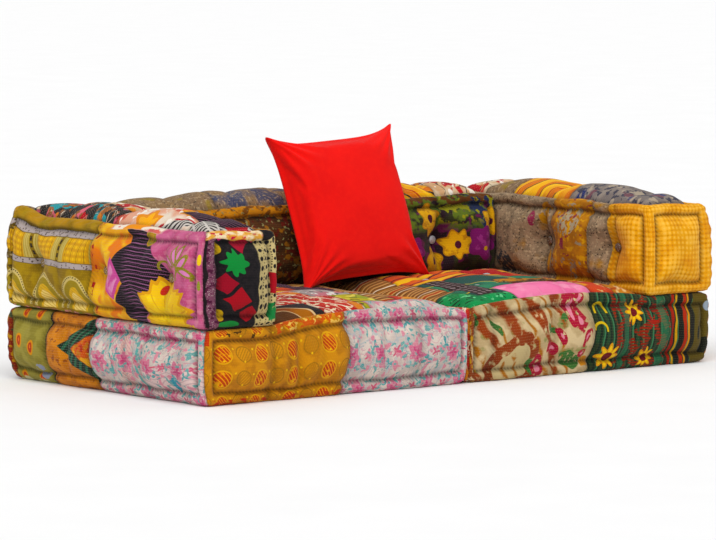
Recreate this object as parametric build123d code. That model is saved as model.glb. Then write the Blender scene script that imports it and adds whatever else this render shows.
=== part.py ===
from build123d import *
from math import asin, cos, hypot, pi, radians, sin, sqrt
import os

# A low floor sofa laid up from loose mattress cushions, in millimetres.
# +X runs along the sofa to its right end seen from the front, -Y is the front, +Z is up.

# Driving sizes of the cushions
seat_side = 950.0  # each seat mattress is a square
seat_height = 215.0  # floor to the top of its rolled edge
bolster_width = 245.0  # arms and back alike
bolster_height = 275.0
laying_gap = 0.4  # between cushions laid side by side or on top of each other

# Rolled and stitched edges
roll_radius = 17.0
groove_angle = 60.0  # degrees of the roll that show past its tangent, down to the stitching
stitch_turn = 145.0  # degrees that the stitching gains on an inset as deep as the roll
upright_ease = 1.5  # upright corner rolls stand this far outside the level ones
seam_step = 3.0  # from the roll's inner stitching to the seam of the panel

# Swell of the stuffed panels
side_swell = 12.0  # free side panels stand out past their rolled edges
flush_draw = 0.6  # panels that meet a neighbour stay this far behind their rolls
seat_crown = 64.0
bolster_crown = 20.0
puff_rise = 15.0  # of each puff above the creases beside it
crown_ease = 2.0  # the crown seen from the end is this much fuller than from the front
crease_draw = 10.0  # creases between the tufts of a side face

# Tufts
seat_tuft_pitch = 240.0
bolster_tuft_shares = (1 / 6, 1 / 2, 5 / 6)
channel_shares = (1 / 3, 2 / 3)  # upright channels of the seat sides
top_dimple_radius, top_dimple_depth = 24.0, 14.0
base_dimple_radius, base_dimple_depth = 22.0, 11.0
inner_dimple_radius, inner_dimple_depth = 34.0, 20.0
button_radius = 13.0
button_height = 6.0
button_rim = 2.0
tie_radius = 1.2

# Quilted cloth and its stuffing
cover_thickness = 3.0
filling_gap = 0.4

# Red scatter pillow
pillow_side = 475.0  # ear to ear when stuffed
pillow_depth = 150.0
pillow_cloth = 1.5
pillow_offset = 45.0  # its middle stands this far right of the seam between the seats
pillow_lean = 19.0  # degrees
ear_draw = 16.0  # sewn edges are drawn in this far between the ears
pillow_level_shares = (0.0, 0.30, 0.56, 0.78, 0.93, 1.0)  # of the half depth
pillow_width_shares = (1.0, 0.95, 0.84, 0.66, 0.42, 0.16)  # of the side
pillow_bow_shares = (0.0, 0.03, 0.06, 0.09, 0.12, 0.15)  # outward bow of each level's sides
pillow_wall_share = 2.0  # each layer's sewn edges lie this many insets inside the cover's
settle_steps = 30

overrun = 100.0  # cutters and blanks reach this far past the work

groove_depth = roll_radius * (1 - cos(radians(groove_angle)))
foot_line = seat_side / 2 - bolster_width  # front face of the back, from the middle of the depth
bolster_base = seat_height + laying_gap
bolster_top = bolster_base + bolster_height


def polar(centre, radius, angle):
    """Point at an angle in degrees round a centre."""
    return (centre[0] + radius * cos(radians(angle)), centre[1] + radius * sin(radians(angle)))


def crown_at(share, crown):
    """Height of a crown at a share of its span."""
    return crown * sin(pi * min(max(share, 0.0), 1.0))


class Face:
    """One side of an outline: its creases, each a place and a height past the rolls, and its arcs."""

    def __init__(self, creases=(), tops=(), rolled=(True, True)):
        self.creases = list(creases)  # (place, height), in rising order of place
        self.tops = list(tops)  # height that each arc reaches halfway, None for a straight run
        self.rolled = rolled  # whether a stitched roll shows at its low end and at its high end

    def runs(self, low, high):
        """Start, end and middle height of each run between two places at the rolls."""
        knots = [low, *self.creases, high]
        return [(knots[i], knots[i + 1], self.tops[i]) for i in range(len(knots) - 1)]


def swelling(height, places=(), draw=0.0):
    """Side face that swells to one height between creases drawn in at these places."""
    return Face([(place, -draw) for place in places], [height] * (len(places) + 1))


def flat():
    """Face that lies flat from roll to roll."""
    return Face([], [None], (False, False))


def crowned(low, high, places, crown, foot=None):
    """Top face with puffs between creases on a crown. Past foot it lies flat under a neighbour."""
    start = low + 2 * roll_radius
    stop = high - 2 * roll_radius if foot is None else foot
    if low > high:  # the flat end lies on the low side
        start, stop = foot, low - 2 * roll_radius
    knots = [start, *places, stop]
    height = [crown_at((k - start) / (stop - start), crown) for k in knots]
    tops = [
        crown_at(((knots[i] + knots[i + 1]) / 2 - start) / (stop - start), crown) + puff_rise
        for i in range(len(knots) - 1)
    ]
    creases = list(zip(knots, height))[1:-1]
    if foot is None:
        return Face(creases, tops)
    if low > high:
        return Face([(foot, 0.0), *creases], [None, *tops], (False, True))
    return Face([*creases, (foot, 0.0)], [*tops, None], (True, False))


def outline(low, high, faces, inset):
    """Edges of a rolled rectangle, counterclockwise, its faces given as base, right, top, left."""
    radius = roll_radius - inset
    groove = groove_angle + stitch_turn * inset / roll_radius
    centres = [
        (high[0] - roll_radius, low[1] + roll_radius),
        (high[0] - roll_radius, high[1] - roll_radius),
        (low[0] + roll_radius, high[1] - roll_radius),
        (low[0] + roll_radius, low[1] + roll_radius),
    ]
    planes = (low[1], high[0], high[1], low[0])
    edges = []
    for side, face in enumerate(faces):
        normal = 90.0 * (side - 1)
        rising = side in (0, 1)
        before, after = face.rolled if rising else face.rolled[::-1]
        start = polar(centres[side - 1], radius, normal + (groove if before else 0.0))
        stop = polar(centres[side], radius, normal - (groove if after else 0.0))
        edges += face_edges(side, face, planes[side], start, stop, inset)
        following = faces[(side + 1) % 4]
        next_before = following.rolled[0] if side in (3, 0) else following.rolled[1]
        first = normal - (groove if after else 0.0)
        last = normal + 90.0 + (groove if next_before else 0.0)
        edges += roll_edges(centres[side], radius, first, last)
    return edges


def roll_edges(centre, radius, first, last):
    """A stitched roll as two arcs, each under a half circle."""
    middle = (first + last) / 2
    return [
        ThreePointArc(*(polar(centre, radius, a + (b - a) * s) for s in (0, 0.5, 1)))
        for a, b in ((first, middle), (middle, last))
    ]


def face_edges(side, face, plane, start, stop, inset):
    """Arcs and lines of one face between the rolls at its ends."""
    outward = 1 if side in (1, 2) else -1
    across = side in (0, 2)

    def point(place, height):
        value = plane + outward * (height - inset)
        return (place, value) if across else (value, place)

    knots = [point(*crease) for crease in face.creases]
    tops = list(face.tops)
    if side in (2, 3):
        knots.reverse()
        tops.reverse()
    knots = [start, *knots, stop]
    edges = []
    for i, top in enumerate(tops):
        a, b = knots[i], knots[i + 1]
        if top is None:
            edges.append(Line(a, b))
            continue
        halfway = (a[0] + b[0]) / 2 if across else (a[1] + b[1]) / 2
        edges.append(ThreePointArc(a, point(halfway, top), b))
    return edges


def height_on(face, low, high, place):
    """Height of a face past its rolls at one place along it."""
    ends = [2 * roll_radius if rolled else roll_radius for rolled in face.rolled]
    levels = [-groove_depth if rolled else 0.0 for rolled in face.rolled]
    for a, b, top in face.runs((low + ends[0], levels[0]), (high - ends[1], levels[1])):
        if a[0] <= place <= b[0]:
            share = (place - a[0]) / (b[0] - a[0])
            chord = a[1] + (b[1] - a[1]) * share
            if top is None:
                return chord
            rise = top - (a[1] + b[1]) / 2
            return chord + rise * 4 * share * (1 - share)
    return -groove_depth


def form(box, front_view, end_view, plan, inset):
    """Cushion body: what its front, end and plan outlines have in common."""
    (x0, x1), (y0, y1), (z0, z1) = box
    front = Plane.XZ * make_face(outline((x0, z0), (x1, z1), front_view, inset))
    end = Plane.YZ * make_face(outline((y0, z0), (y1, z1), end_view, inset))
    low, high = (x0 - upright_ease, y0 - upright_ease), (x1 + upright_ease, y1 + upright_ease)
    top = make_face(outline(low, high, plan, inset))
    long_y, long_x, long_z = (y1 - y0 + 2 * overrun, x1 - x0 + 2 * overrun, z1 - z0 + 2 * overrun)
    front = Pos(0, y1 + overrun, 0) * extrude(front, long_y, dir=(0, -1, 0))
    end = Pos(x0 - overrun, 0, 0) * extrude(end, long_x, dir=(1, 0, 0))
    top = Pos(0, 0, z0 - overrun) * extrude(top, long_z, dir=(0, 0, 1))
    return front & end & top


class Tuft:
    """One tie through a cushion, pulled in by a button at each end."""

    def __init__(self, axis, place, low, high, low_dimple, high_dimple):
        self.axis, self.place = axis, place
        self.ends = ((low, -1, low_dimple), (high, 1, high_dimple))

    def at(self, along):
        """Point on the tie."""
        x, y = self.place
        return {"X": (along, x, y), "Y": (x, along, y), "Z": (x, y, along)}[self.axis]

    def turned(self, along, way):
        """Place on the tie that looks out of the cushion."""
        turn = {"X": (0, 90 * way, 0), "Y": (-90 * way, 0, 0), "Z": (0, 90 - 90 * way, 0)}
        return Location(self.at(along), turn[self.axis])

    def dimples(self, inset):
        """Round hollows that the buttons pull into the cushion."""
        hollows = []
        for surface, way, (radius, depth) in self.ends:
            ball = (radius**2 + depth**2) / (2 * depth)
            hollows.append(Pos(*self.at(surface + way * (ball - depth))) * Sphere(ball + inset))
        return hollows

    def seats(self):
        """Where each button's flat back lies in its hollow, and which way it looks."""
        places = []
        for surface, way, (radius, depth) in self.ends:
            ball = (radius**2 + depth**2) / (2 * depth)
            rise = ball - sqrt(ball**2 - button_radius**2)
            places.append((surface - way * (depth - rise), way))
        return places

    def buttons(self):
        """Domed buttons at both ends."""
        return [self.turned(along, way) * domed_button() for along, way in self.seats()]

    def tie(self):
        """Cord from button to button."""
        (low, _), (high, _) = self.seats()
        return self.turned(low, 1) * Cylinder(
            tie_radius, high - low, align=(Align.CENTER, Align.CENTER, Align.MIN)
        )


def domed_button():
    """Cloth-covered button with a flat back at the origin."""
    rim = (button_radius, button_rim)
    top = (0, button_height)
    dome = (button_height**2 - button_rim**2 + button_radius**2) / (2 * (button_height - button_rim))
    dome -= button_rim
    half = asin(button_radius / hypot(button_radius, dome - button_height + button_rim)) / 2
    centre = button_height - dome
    crest = (dome * sin(half), centre + dome * cos(half))
    edges = [
        Line((0, 0), (button_radius, 0)),
        Line((button_radius, 0), rim),
        ThreePointArc(rim, crest, top),
        Line(top, (0, 0)),
    ]
    return revolve(Plane.XZ * make_face(edges), Axis.Z)


def hollow_case(box, views, tufts):
    """Cover of a cushion as one shell, hollowed at its tufts."""
    shell = tufted(form(box, *views, 0.0), tufts, 0.0)
    return shell - tufted(form(box, *views, cover_thickness), tufts, cover_thickness)


def tufted(body, tufts, inset):
    """Body with the hollows of its tufts."""
    for tuft in tufts:
        for hollow in tuft.dimples(inset):
            body -= hollow
    return body


def panel_block(box, upper):
    """Block that takes the top or the base panel out of a cover, inside its rolled edges."""
    (x0, x1), (y0, y1), (z0, z1) = box
    edge = 2 * roll_radius + seam_step
    middle = (z0 + z1) / 2
    low, high = (middle, z1 + 2 * overrun) if upper else (z0 - overrun, middle)
    size = (x1 - x0 - 2 * edge, y1 - y0 - 2 * edge, high - low)
    return Pos((x0 + x1) / 2, (y0 + y1) / 2, (low + high) / 2) * Box(*size)


def layered(stuffing, level):
    """Stuffing laid in two layers, a slab up to a level and the crown on top of it."""
    reach = 4 * seat_side
    slab = stuffing & Pos(0, 0, level - reach / 2) * Box(reach, reach, reach)
    crown = stuffing & Pos(0, 0, level + filling_gap + reach / 2) * Box(reach, reach, reach)
    return grouped([largest(slab), largest(crown)])


def largest(piece):
    """The piece without crumbs that a cut leaves along a seam."""
    return sorted(piece.solids(), key=lambda solid: solid.volume)[-1]


def cushion(name, box, views, tufts, slab_level=None):
    """Every piece of one tufted cushion, by node name."""
    case = hollow_case(box, views, tufts)
    stuffing_inset = cover_thickness + filling_gap
    stuffing = tufted(form(box, *views, stuffing_inset), tufts, stuffing_inset)
    ties = [tuft.tie() for tuft in tufts]
    for tie in ties:
        case -= tie
        stuffing -= tie
    if slab_level is not None:
        stuffing = layered(stuffing, slab_level)
    over, under = panel_block(box, True), panel_block(box, False)
    buttons = [button for tuft in tufts for button in tuft.buttons()]
    return {
        name + "_top_panel": case & over,
        name + "_base_panel": case & under,
        name + "_side_border": largest(case - over - under),
        name + "_filling": stuffing,
        name + "_tuft_ties": grouped(ties),
        name + "_buttons": grouped(buttons),
    }


def seat():
    """Left seat mattress. Its arm and back stand on the flat strips of its top."""
    box = ((-seat_side, -laying_gap / 2), (-seat_side / 2, seat_side / 2), (0.0, seat_height))
    (x0, x1), (y0, y1), (z0, z1) = box
    centre = -seat_side / 2
    columns = (centre, centre + seat_tuft_pitch)
    rows = (-seat_tuft_pitch, 0.0)
    arm_foot = x0 + bolster_width
    across = crowned(x1, x0, columns, seat_crown, arm_foot)
    along = crowned(y0, y1, rows, seat_crown + crown_ease, foot_line)
    channels_x = [x0 + (x1 - x0) * share for share in channel_shares]
    channels_y = [y0 + (y1 - y0) * share for share in channel_shares]
    flush, swell = swelling(-flush_draw), swelling(side_swell)
    front_view = (flat(), flush, across, swell)
    end_view = (flat(), swell, along, swell)
    swell_x = swelling(side_swell, channels_x, crease_draw)
    swell_y = swelling(side_swell, channels_y, crease_draw)
    plan = (swell_x, flush, swell_x, swell_y)
    tufts = []
    for x in (centre - seat_tuft_pitch, *columns):
        for y in (*rows, seat_tuft_pitch):
            rise = seat_rise(across, along, box, x, y)
            base = (base_dimple_radius, base_dimple_depth)
            top = (top_dimple_radius, top_dimple_depth)
            tufts.append(Tuft("Z", (x, y), z0, z1 + rise, base, top))
    return box, (front_view, end_view, plan), tufts


def seat_rise(across, along, box, x, y):
    """Height of the seat's top above its rolls, the lower of its two crowns."""
    return min(height_on(across, *box[0], x), height_on(along, *box[1], y))


def arm():
    """Left arm bolster."""
    box = (
        (-seat_side, -seat_side + bolster_width),
        (-seat_side / 2, seat_side / 2),
        (bolster_base, bolster_top),
    )
    (x0, x1), (y0, y1), (z0, z1) = box
    places = [y0 + (y1 - y0) * share for share in bolster_tuft_shares]
    flush, swell = swelling(-flush_draw), swelling(side_swell)
    front_view = (flat(), flush, crowned(x0, x1, (), bolster_crown), swell)
    end_view = (flat(), swell, crowned(y0, y1, places, bolster_crown + crown_ease), swell)
    plan = (swell, swelling(-flush_draw, places, crease_draw), swell, swell)
    middle = (z0 + z1) / 2
    outer = (base_dimple_radius, base_dimple_depth)
    inner = (inner_dimple_radius, inner_dimple_depth)
    tufts = [
        Tuft("X", (y, middle), x0 - side_swell, x1 - crease_draw, outer, inner) for y in places
    ]
    return box, (front_view, end_view, plan), tufts


def back():
    """Back bolster, laid between the arms."""
    half = seat_side - bolster_width - laying_gap
    box = ((-half, half), (foot_line, seat_side / 2), (bolster_base, bolster_top))
    (x0, x1), (y0, y1), (z0, z1) = box
    places = [x0 + (x1 - x0) * share for share in bolster_tuft_shares]
    flush, swell = swelling(-flush_draw), swelling(side_swell)
    front_view = (flat(), flush, crowned(x0, x1, places, bolster_crown), flush)
    end_view = (flat(), swell, crowned(y0, y1, (), bolster_crown + crown_ease), flush)
    plan = (swelling(-flush_draw, places, crease_draw), flush, swell, flush)
    middle = (z0 + z1) / 2
    outer = (base_dimple_radius, base_dimple_depth)
    inner = (inner_dimple_radius, inner_dimple_depth)
    tufts = [
        Tuft("Y", (x, middle), y0 + crease_draw, y1 + side_swell, inner, outer) for x in places
    ]
    return box, (front_view, end_view, plan), tufts


def pillow_level(inset, level, width, bow):
    """Outline of the pillow at one level of its depth, four arcs from ear to ear."""
    side = (pillow_side - 2 * pillow_wall_share * inset) * width
    draw = ear_draw * width - pillow_side * bow * width
    half = side / 2
    ears = [(-half, -half), (half, -half), (half, half), (-half, half)]
    edges = []
    for i, (x, y) in enumerate(ears):
        next_x, next_y = ears[(i + 1) % 4]
        middle = ((x + next_x) / 2, (y + next_y) / 2)
        pull = 1 - draw / half
        edges.append(ThreePointArc((x, y), (middle[0] * pull, middle[1] * pull), (next_x, next_y)))
    depth = (pillow_depth / 2 - inset) * level
    return depth, edges


def pillow_half(inset, way):
    """One stuffed half of the pillow, from its sewn edge to its crown."""
    shares = zip(pillow_level_shares, pillow_width_shares, pillow_bow_shares)
    levels = [pillow_level(inset, *share) for share in shares]
    faces = [Pos(0, 0, way * depth) * make_face(edges) for depth, edges in levels]
    return loft(faces, ruled=True)


def pillow_outline():
    """Points of the pillow's rear, in its middle, as distance behind and height from its centre."""
    points = []
    for level, width, bow in zip(pillow_level_shares, pillow_width_shares, pillow_bow_shares):
        reach = (pillow_side / 2 - ear_draw + pillow_side * bow) * width
        points.append((pillow_depth / 2 * level, reach))
    return points + [(depth, -height) for depth, height in reversed(points)]


def settle_pillow(box, across, along):
    """Centre of the pillow where it stands on the seats and leans on the back's rolled edge."""
    lean = radians(pillow_lean)
    roll = (foot_line + roll_radius, bolster_top - roll_radius)
    half = pillow_side / 2
    y, z = 0.0, seat_height + half
    for _ in range(settle_steps):
        ear = y - half * sin(lean)
        marks = [-abs(pillow_offset + way * half) for way in (-1, 1)]
        rise = max(seat_rise(across, along, box, mark, ear) for mark in marks)
        z = seat_height + rise + laying_gap + half * cos(lean)
        y += push_room(y, z, lean, roll)
    return (pillow_offset, y, z)


def push_room(y, z, lean, roll):
    """How far the pillow can still move back before its rear meets the roll."""
    points = [
        (y + d * cos(lean) + h * sin(lean), z - d * sin(lean) + h * cos(lean))
        for d, h in pillow_outline()
    ]
    rooms = []
    for (ay, az), (by, bz) in zip(points, points[1:]):
        length = hypot(by - ay, bz - az)
        ny, nz = (az - bz) / length, (by - ay) / length
        if ny <= 0:
            continue
        reach = ny * (roll[0] - ay) + nz * (roll[1] - az)
        rooms.append((reach - roll_radius - laying_gap) / ny)
    return max(rooms)


def pillow(centre):
    """Pieces of the scatter pillow, leaning back on the sofa."""
    stand = Location(centre, (90 - pillow_lean, 0, 0))
    stuffing_inset = pillow_cloth + filling_gap
    front = pillow_half(0.0, 1) - pillow_half(pillow_cloth, 1)
    rear = pillow_half(0.0, -1) - pillow_half(pillow_cloth, -1)
    insert = pillow_half(stuffing_inset, 1) + pillow_half(stuffing_inset, -1)
    return {
        "scatter_pillow_front_panel": stand * front,
        "scatter_pillow_back_panel": stand * rear,
        "scatter_pillow_insert": stand * insert,
    }


def mirrored(pieces):
    """The right-hand cushion, with its own node names."""
    result = {}
    for name, piece in pieces.items():
        solids = [mirror(solid, about=Plane.YZ) for solid in piece.solids()]
        result[name.replace("left", "right")] = grouped(solids)
    return result


def grouped(solids):
    """One shape of one or more solids."""
    return solids[0] if len(solids) == 1 else Compound(children=solids)


os.makedirs("parts", exist_ok=True)
seat_box, seat_views, seat_tufts = seat()
slab_level = seat_height - cover_thickness - filling_gap / 2
left_seat = cushion("left_seat", seat_box, seat_views, seat_tufts, slab_level)
left_arm = cushion("left_arm", *arm())
pieces = {**left_seat, **mirrored(left_seat), **left_arm, **mirrored(left_arm)}
pieces.update(cushion("back", *back()))
pieces.update(pillow(settle_pillow(seat_box, seat_views[0][2], seat_views[1][2])))
for name, piece in pieces.items():
    piece.label = name
    export_step(piece, os.path.join("parts", name + ".step"))
    print(name, len(piece.solids()), round(piece.volume), [round(v, 1) for v in piece.bounding_box().size])
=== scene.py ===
import math

import bpy
import numpy as np
from mathutils import Euler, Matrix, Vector


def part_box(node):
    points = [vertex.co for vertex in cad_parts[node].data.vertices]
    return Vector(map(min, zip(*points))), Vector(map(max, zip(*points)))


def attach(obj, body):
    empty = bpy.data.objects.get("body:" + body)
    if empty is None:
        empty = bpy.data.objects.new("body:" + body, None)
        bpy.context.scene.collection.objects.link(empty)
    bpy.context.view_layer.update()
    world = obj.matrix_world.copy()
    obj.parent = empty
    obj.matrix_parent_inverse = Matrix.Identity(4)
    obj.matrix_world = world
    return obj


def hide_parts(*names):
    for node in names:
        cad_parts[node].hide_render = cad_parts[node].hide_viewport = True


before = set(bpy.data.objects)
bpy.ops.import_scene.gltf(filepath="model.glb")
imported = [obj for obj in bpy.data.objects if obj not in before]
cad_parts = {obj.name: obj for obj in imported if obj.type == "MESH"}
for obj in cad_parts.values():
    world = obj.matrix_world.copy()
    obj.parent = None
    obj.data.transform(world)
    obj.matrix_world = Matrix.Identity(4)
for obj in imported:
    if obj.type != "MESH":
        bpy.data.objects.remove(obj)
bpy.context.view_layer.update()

# Sizes of the cushions, in metres, as the solids have them
SEAT_SIDE = 0.950
SEAT_TOP = 0.215
BOLSTER_WIDTH = 0.245
BOLSTER_BASE = 0.2154
BOLSTER_TOP = 0.4904
SEAM_GAP = 0.0002  # from the middle of a joint between two cushions to each of them
FOOT_LINE = SEAT_SIDE / 2 - BOLSTER_WIDTH  # y of the back's front foot
ARM_LINE = SEAT_SIDE - BOLSTER_WIDTH  # distance of an arm's inner side from the sofa's middle
ROLL = 0.017  # radius of a stitched edge
ROLL_TURN = math.radians(80)  # how far its arc runs down to the stitching
GROOVE_AT = ROLL * (1 + math.sin(ROLL_TURN))
GROOVE_DEPTH = ROLL * (1 - math.cos(ROLL_TURN))
SEAT_TUFT_PITCH = 0.240
BOLSTER_TUFTS = (1 / 6, 1 / 2, 5 / 6)
CHANNELS = (1 / 3, 2 / 3)
CELL = 0.0105  # mesh cell of a cover before its last subdivision
BUTTON_RADIUS = 0.013
TUFT_REACH, INNER_REACH = 0.034, 0.042  # how far a tuft draws the cloth in
DEEP = {("right", "left_arm"), ("left", "right_arm"), ("front", "back")}  # inner faces, with the wider reach
VIEW_REACH, VIEW_DROP, VIEW_SLOPE = 0.11, 0.004, 0.07  # the lower cloth in front of a seat's middle tuft
PANEL_RISE = 0.050  # how far past its stitching a panel reaches its full height
DIP_FADE = 0.012  # how fast a crowned top leaves the groove beside its stitching
TUFT_SHADE, STITCH_SHADE = 0.024, 0.0050  # how far the painted shade of a tuft and of the stitching reaches
SEAT_CROWN, FRONT_LESS, PUFF, REAR_MORE, PLUMP = 0.060, 0.2, 0.010, 1.2, 0.014  # of a seat's top
PLUMP_AT, PLUMP_REACH = (0.58, 0.10), (0.13, 0.055)  # the plump field of the right seat
BOLSTER_CROWN, BOLSTER_RISE, ARM_PUFF, BACK_PUFF = 0.036, 0.022, 0.012, 0.020  # of a bolster's top
SIDE_SWELL, INNER_SWELL, FLUSH, SWELL_FADE = 0.014, 0.016, -0.0006, 0.070  # of the side panels
DEEP_CREASE, SHALLOW_CREASE, CREASE_FADE = 0.014, 0.006, 0.016  # of the channels beside the tufts
CREASE_WIDTH, CREASE_WAVER = 0.009, 0.004  # of the pleats and patch seams in CREASES
SLOW_WAVE, PLEAT_DEPTH, PLEAT_PITCH, PLEAT_FADE = 0.0026, 0.0062, 0.038, 0.020  # of the unevenness
STILL_FADE = 0.040  # from a face that meets a neighbour to where the unevenness is in full
FOOT_LIFT, FOOT_FADE = 0.004, 0.012  # of the edge along the floor
FRONT_LIFT, FRONT_FADE = 0.033, 0.11  # the stuffed-up front edge of the seats
CORNER_LIFT, CORNER_REACH = 0.024, 0.085  # the outer rear corners of the bolsters
PATCH_SEAM = 0.0025  # how deep the seam between two patches is drawn in
SIM_FRAMES = 20
SEAT_PRESSURE, PILLOW_PRESSURE, SPARE, PILLOW_SPARE = 4.0, 2.5, 0.03, 0.02  # spare: how much wider the cloth is cut
SWELL_CAP, SEAT_CAP = 0.024, 0.006  # how far the simulation may move the cloth
DENT_GAP, DENT_FLAT, DENT_SLOPE, DENT_MARGIN = 0.003, 0.008, 0.35, 0.05  # the dent under the pillow
BOW = {  # how far a cushion's outer sides bow out, along x and along y; an inner side bows by INNER_BOW
    "left_seat": (0.026, 0.014), "right_seat": (0.012, 0.012),
    "left_arm": (0.030, 0.014), "right_arm": (0.024, 0.012), "back": (0.013, 0.012),
}
INNER_BOW = 0.013
CREASES = {  # pleats and seams between patches that draw a side in: cushion, side, then each place along it and depth
    ("left_seat", "front"): (
        (0.224, 0.013), (0.271, 0.010), (0.314, 0.011), (0.387, 0.008), (0.486, 0.013), (0.745, 0.010),
    ),
    ("left_seat", "left"): (
        (0.206, 0.016), (0.300, 0.005), (0.430, 0.015), (0.600, 0.009), (0.690, 0.010), (0.86, 0.006),
    ),
    ("left_seat", "rear"): ((0.24, 0.013), (0.36, 0.008), (0.47, 0.012), (0.71, 0.013), (0.82, 0.007)),
    ("right_seat", "front"): (
        (0.085, 0.014), (0.210, 0.006), (0.330, 0.008), (0.472, 0.013), (0.600, 0.007), (0.79, 0.010),
    ),
    ("right_seat", "right"): ((0.24, 0.013), (0.35, 0.007), (0.48, 0.012), (0.60, 0.008), (0.72, 0.013)),
    ("right_seat", "rear"): ((0.13, 0.008), (0.24, 0.012), (0.47, 0.013), (0.58, 0.007), (0.71, 0.012)),
    ("left_arm", "left"): (
        (0.158, 0.006), (0.305, 0.007), (0.438, 0.010), (0.690, 0.006), (0.792, 0.008), (0.880, 0.006),
    ),
    ("left_arm", "front"): ((0.170, 0.007),),
    ("left_arm", "right"): ((0.158, 0.012), (0.24, 0.007), (0.475, 0.013), (0.72, 0.006)),
    ("right_arm", "left"): (
        (0.330, 0.006), (0.475, 0.016), (0.517, 0.007), (0.640, 0.005), (0.700, 0.007), (0.792, 0.016),
    ),
    ("right_arm", "front"): ((0.110, 0.003),),
    ("right_arm", "right"): ((0.158, 0.010), (0.24, 0.008), (0.475, 0.012), (0.72, 0.008), (0.792, 0.010)),
    ("back", "front"): ((0.235, 0.014), (0.705, 0.014), (0.90, 0.008), (1.174, 0.016), (1.285, 0.007)),
    ("back", "rear"): ((0.235, 0.012), (0.47, 0.008), (0.705, 0.012), (0.94, 0.008), (1.174, 0.012)),
}
MEETING = {  # sides of each cushion that lie against a neighbour or the floor
    "left_seat": ("base", "right"), "right_seat": ("base", "left"),
    "left_arm": ("base",), "right_arm": ("base",), "back": ("base", "left", "right"),
}
STILL = {  # the same, as axis and way, for the unevenness: a seat's top is still where the bolsters stand on it
    "left_seat": ((2, -1), (2, 1), (0, 1)), "right_seat": ((2, -1), (2, 1), (0, -1)),
    "left_arm": ((2, -1), (0, 1)), "right_arm": ((2, -1), (0, -1)), "back": ((2, -1), (0, -1), (0, 1)),
}


def spaced(stops, cell=CELL):
    """Stations through every stop, with even steps of about one cell between two stops."""
    runs = [
        np.linspace(a, b, max(1, round((b - a) / cell)), endpoint=False)
        for a, b in zip(stops, stops[1:])
    ]
    return np.concatenate(runs + [np.array(stops[-1:])])


def edge_stops(low, high, places=()):
    """Stops across a cushion: its stitched edges, finely, and the places of tufts or channels."""
    near = np.array([0.0, 0.4 * ROLL, ROLL, ROLL + 0.007, ROLL + 0.0125, GROOVE_AT])
    return [*(low + near), *sorted(places), *(high - near[::-1])]


def puff(at, knots):
    """Half-round swelling between neighbouring knots: the root of 4 t (1 - t), 0 at each knot."""
    knots = np.asarray(knots)
    i = np.clip(np.searchsorted(knots, at, side="right") - 1, 0, len(knots) - 2)
    t = np.clip((at - knots[i]) / (knots[i + 1] - knots[i]), 0, 1)
    return np.sqrt(4 * t * (1 - t))


def waver(points, low, high, still, bow, lower):
    """Hand-made unevenness of a cover: slow sine waves of up to about 4 mm, a pleat of depth
    (1/2 - 1/2 cos(2 pi run))^4 at every pitch of stitching, fading exp(-distance / fade) from the edge, and sides
    that bow out: an outer side by bow share^5, most where the lower and the upper cushions meet, an inner side by its
    own bow sin(pi height). Across a face in still, which meets a neighbour or the floor, all this fades to nothing,
    and at the foot of a cushion the edge lifts a little instead."""
    x, y, z = points[..., 0], points[..., 1], points[..., 2]
    slow = [
        np.sin(19 * y + 11 * z + 1.0) + 0.6 * np.sin(43 * y - 17 * x),
        np.sin(17 * x - 9 * z + 2.0) + 0.6 * np.sin(41 * x + 13 * y),
        np.sin(15 * x + 21 * y) + 0.5 * np.sin(37 * x - 33 * y + 0.5),
    ]
    near = [np.minimum(points[..., k] - low[k], high[k] - points[..., k]) for k in range(3)]
    edge = np.sort(np.stack(near), 0)[1]
    run = (x + y + z) / PLEAT_PITCH + 0.35 * np.sin(23 * (x - y + z))
    pleat = PLEAT_DEPTH * np.exp(-edge / PLEAT_FADE) * (0.5 - 0.5 * np.cos(2 * np.pi * run)) ** 4
    centre = (low + high) / 2
    inward = np.sign(centre - points) * (np.stack(near, -1) < 0.5 * ROLL)
    moved = SLOW_WAVE * np.stack(slow, -1) + inward * pleat[..., None]
    height = np.clip((z - low[2]) / (high[2] - low[2]), 0, 1)
    lean = height if lower else 1 - height
    inner = INNER_BOW * np.sin(np.pi * height)[..., None]
    bulge = np.minimum(1, np.sin(np.pi * height) + 0.65 * lean**2 + 0.15 * (1 - lean))
    outer = np.array(bow) * bulge[..., None]
    share = ((points - centre) / (high - low) * 2)[..., :2]
    moved[..., :2] += np.where(share * centre[:2] > -1e-4, outer, inner) * share**5
    for axis, way in still:
        gap = high[axis] - points[..., axis] if way > 0 else points[..., axis] - low[axis]
        moved[..., axis] *= np.clip(gap / STILL_FADE, 0, 1)
    rim = np.minimum(near[0], near[1])
    lift = FOOT_LIFT * np.clip(np.sin(13 * (x + 2 * y)) + np.sin(29 * (x - y)), 0, 1) * np.exp(-rim / FOOT_FADE)
    moved[..., 2] += lift * (z < low[2] + 1e-6)
    return moved


def stuffed_up(points, low, high, lower):
    """What the stuffing lifts, in z. Front edge of a seat, between the arm's foot and the other seat: lift
    sin(pi a)^0.6 share^1.5 exp(-distance behind the edge / fade), share being the height from 0 to 1. Outer rear
    corner of a bolster: lift share^2 exp(-(r / reach)^2)."""
    x, y, z = points.T
    share = np.clip((z - low[2]) / (high[2] - low[2]), 0, 1)
    if lower:
        a = np.clip(1 - np.abs(x) / ARM_LINE, 0, 1)
        behind = np.exp(-(y - low[1]) / FRONT_FADE) * np.clip((FOOT_LINE - y) / 0.1, 0, 1)
        return FRONT_LIFT * np.maximum(np.sin(np.pi * a), 0) ** 0.6 * share**1.5 * behind
    r = np.hypot(SEAT_SIDE - np.abs(x), high[1] - y)
    return CORNER_LIFT * share**2 * np.exp(-((r / CORNER_REACH) ** 2))


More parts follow.
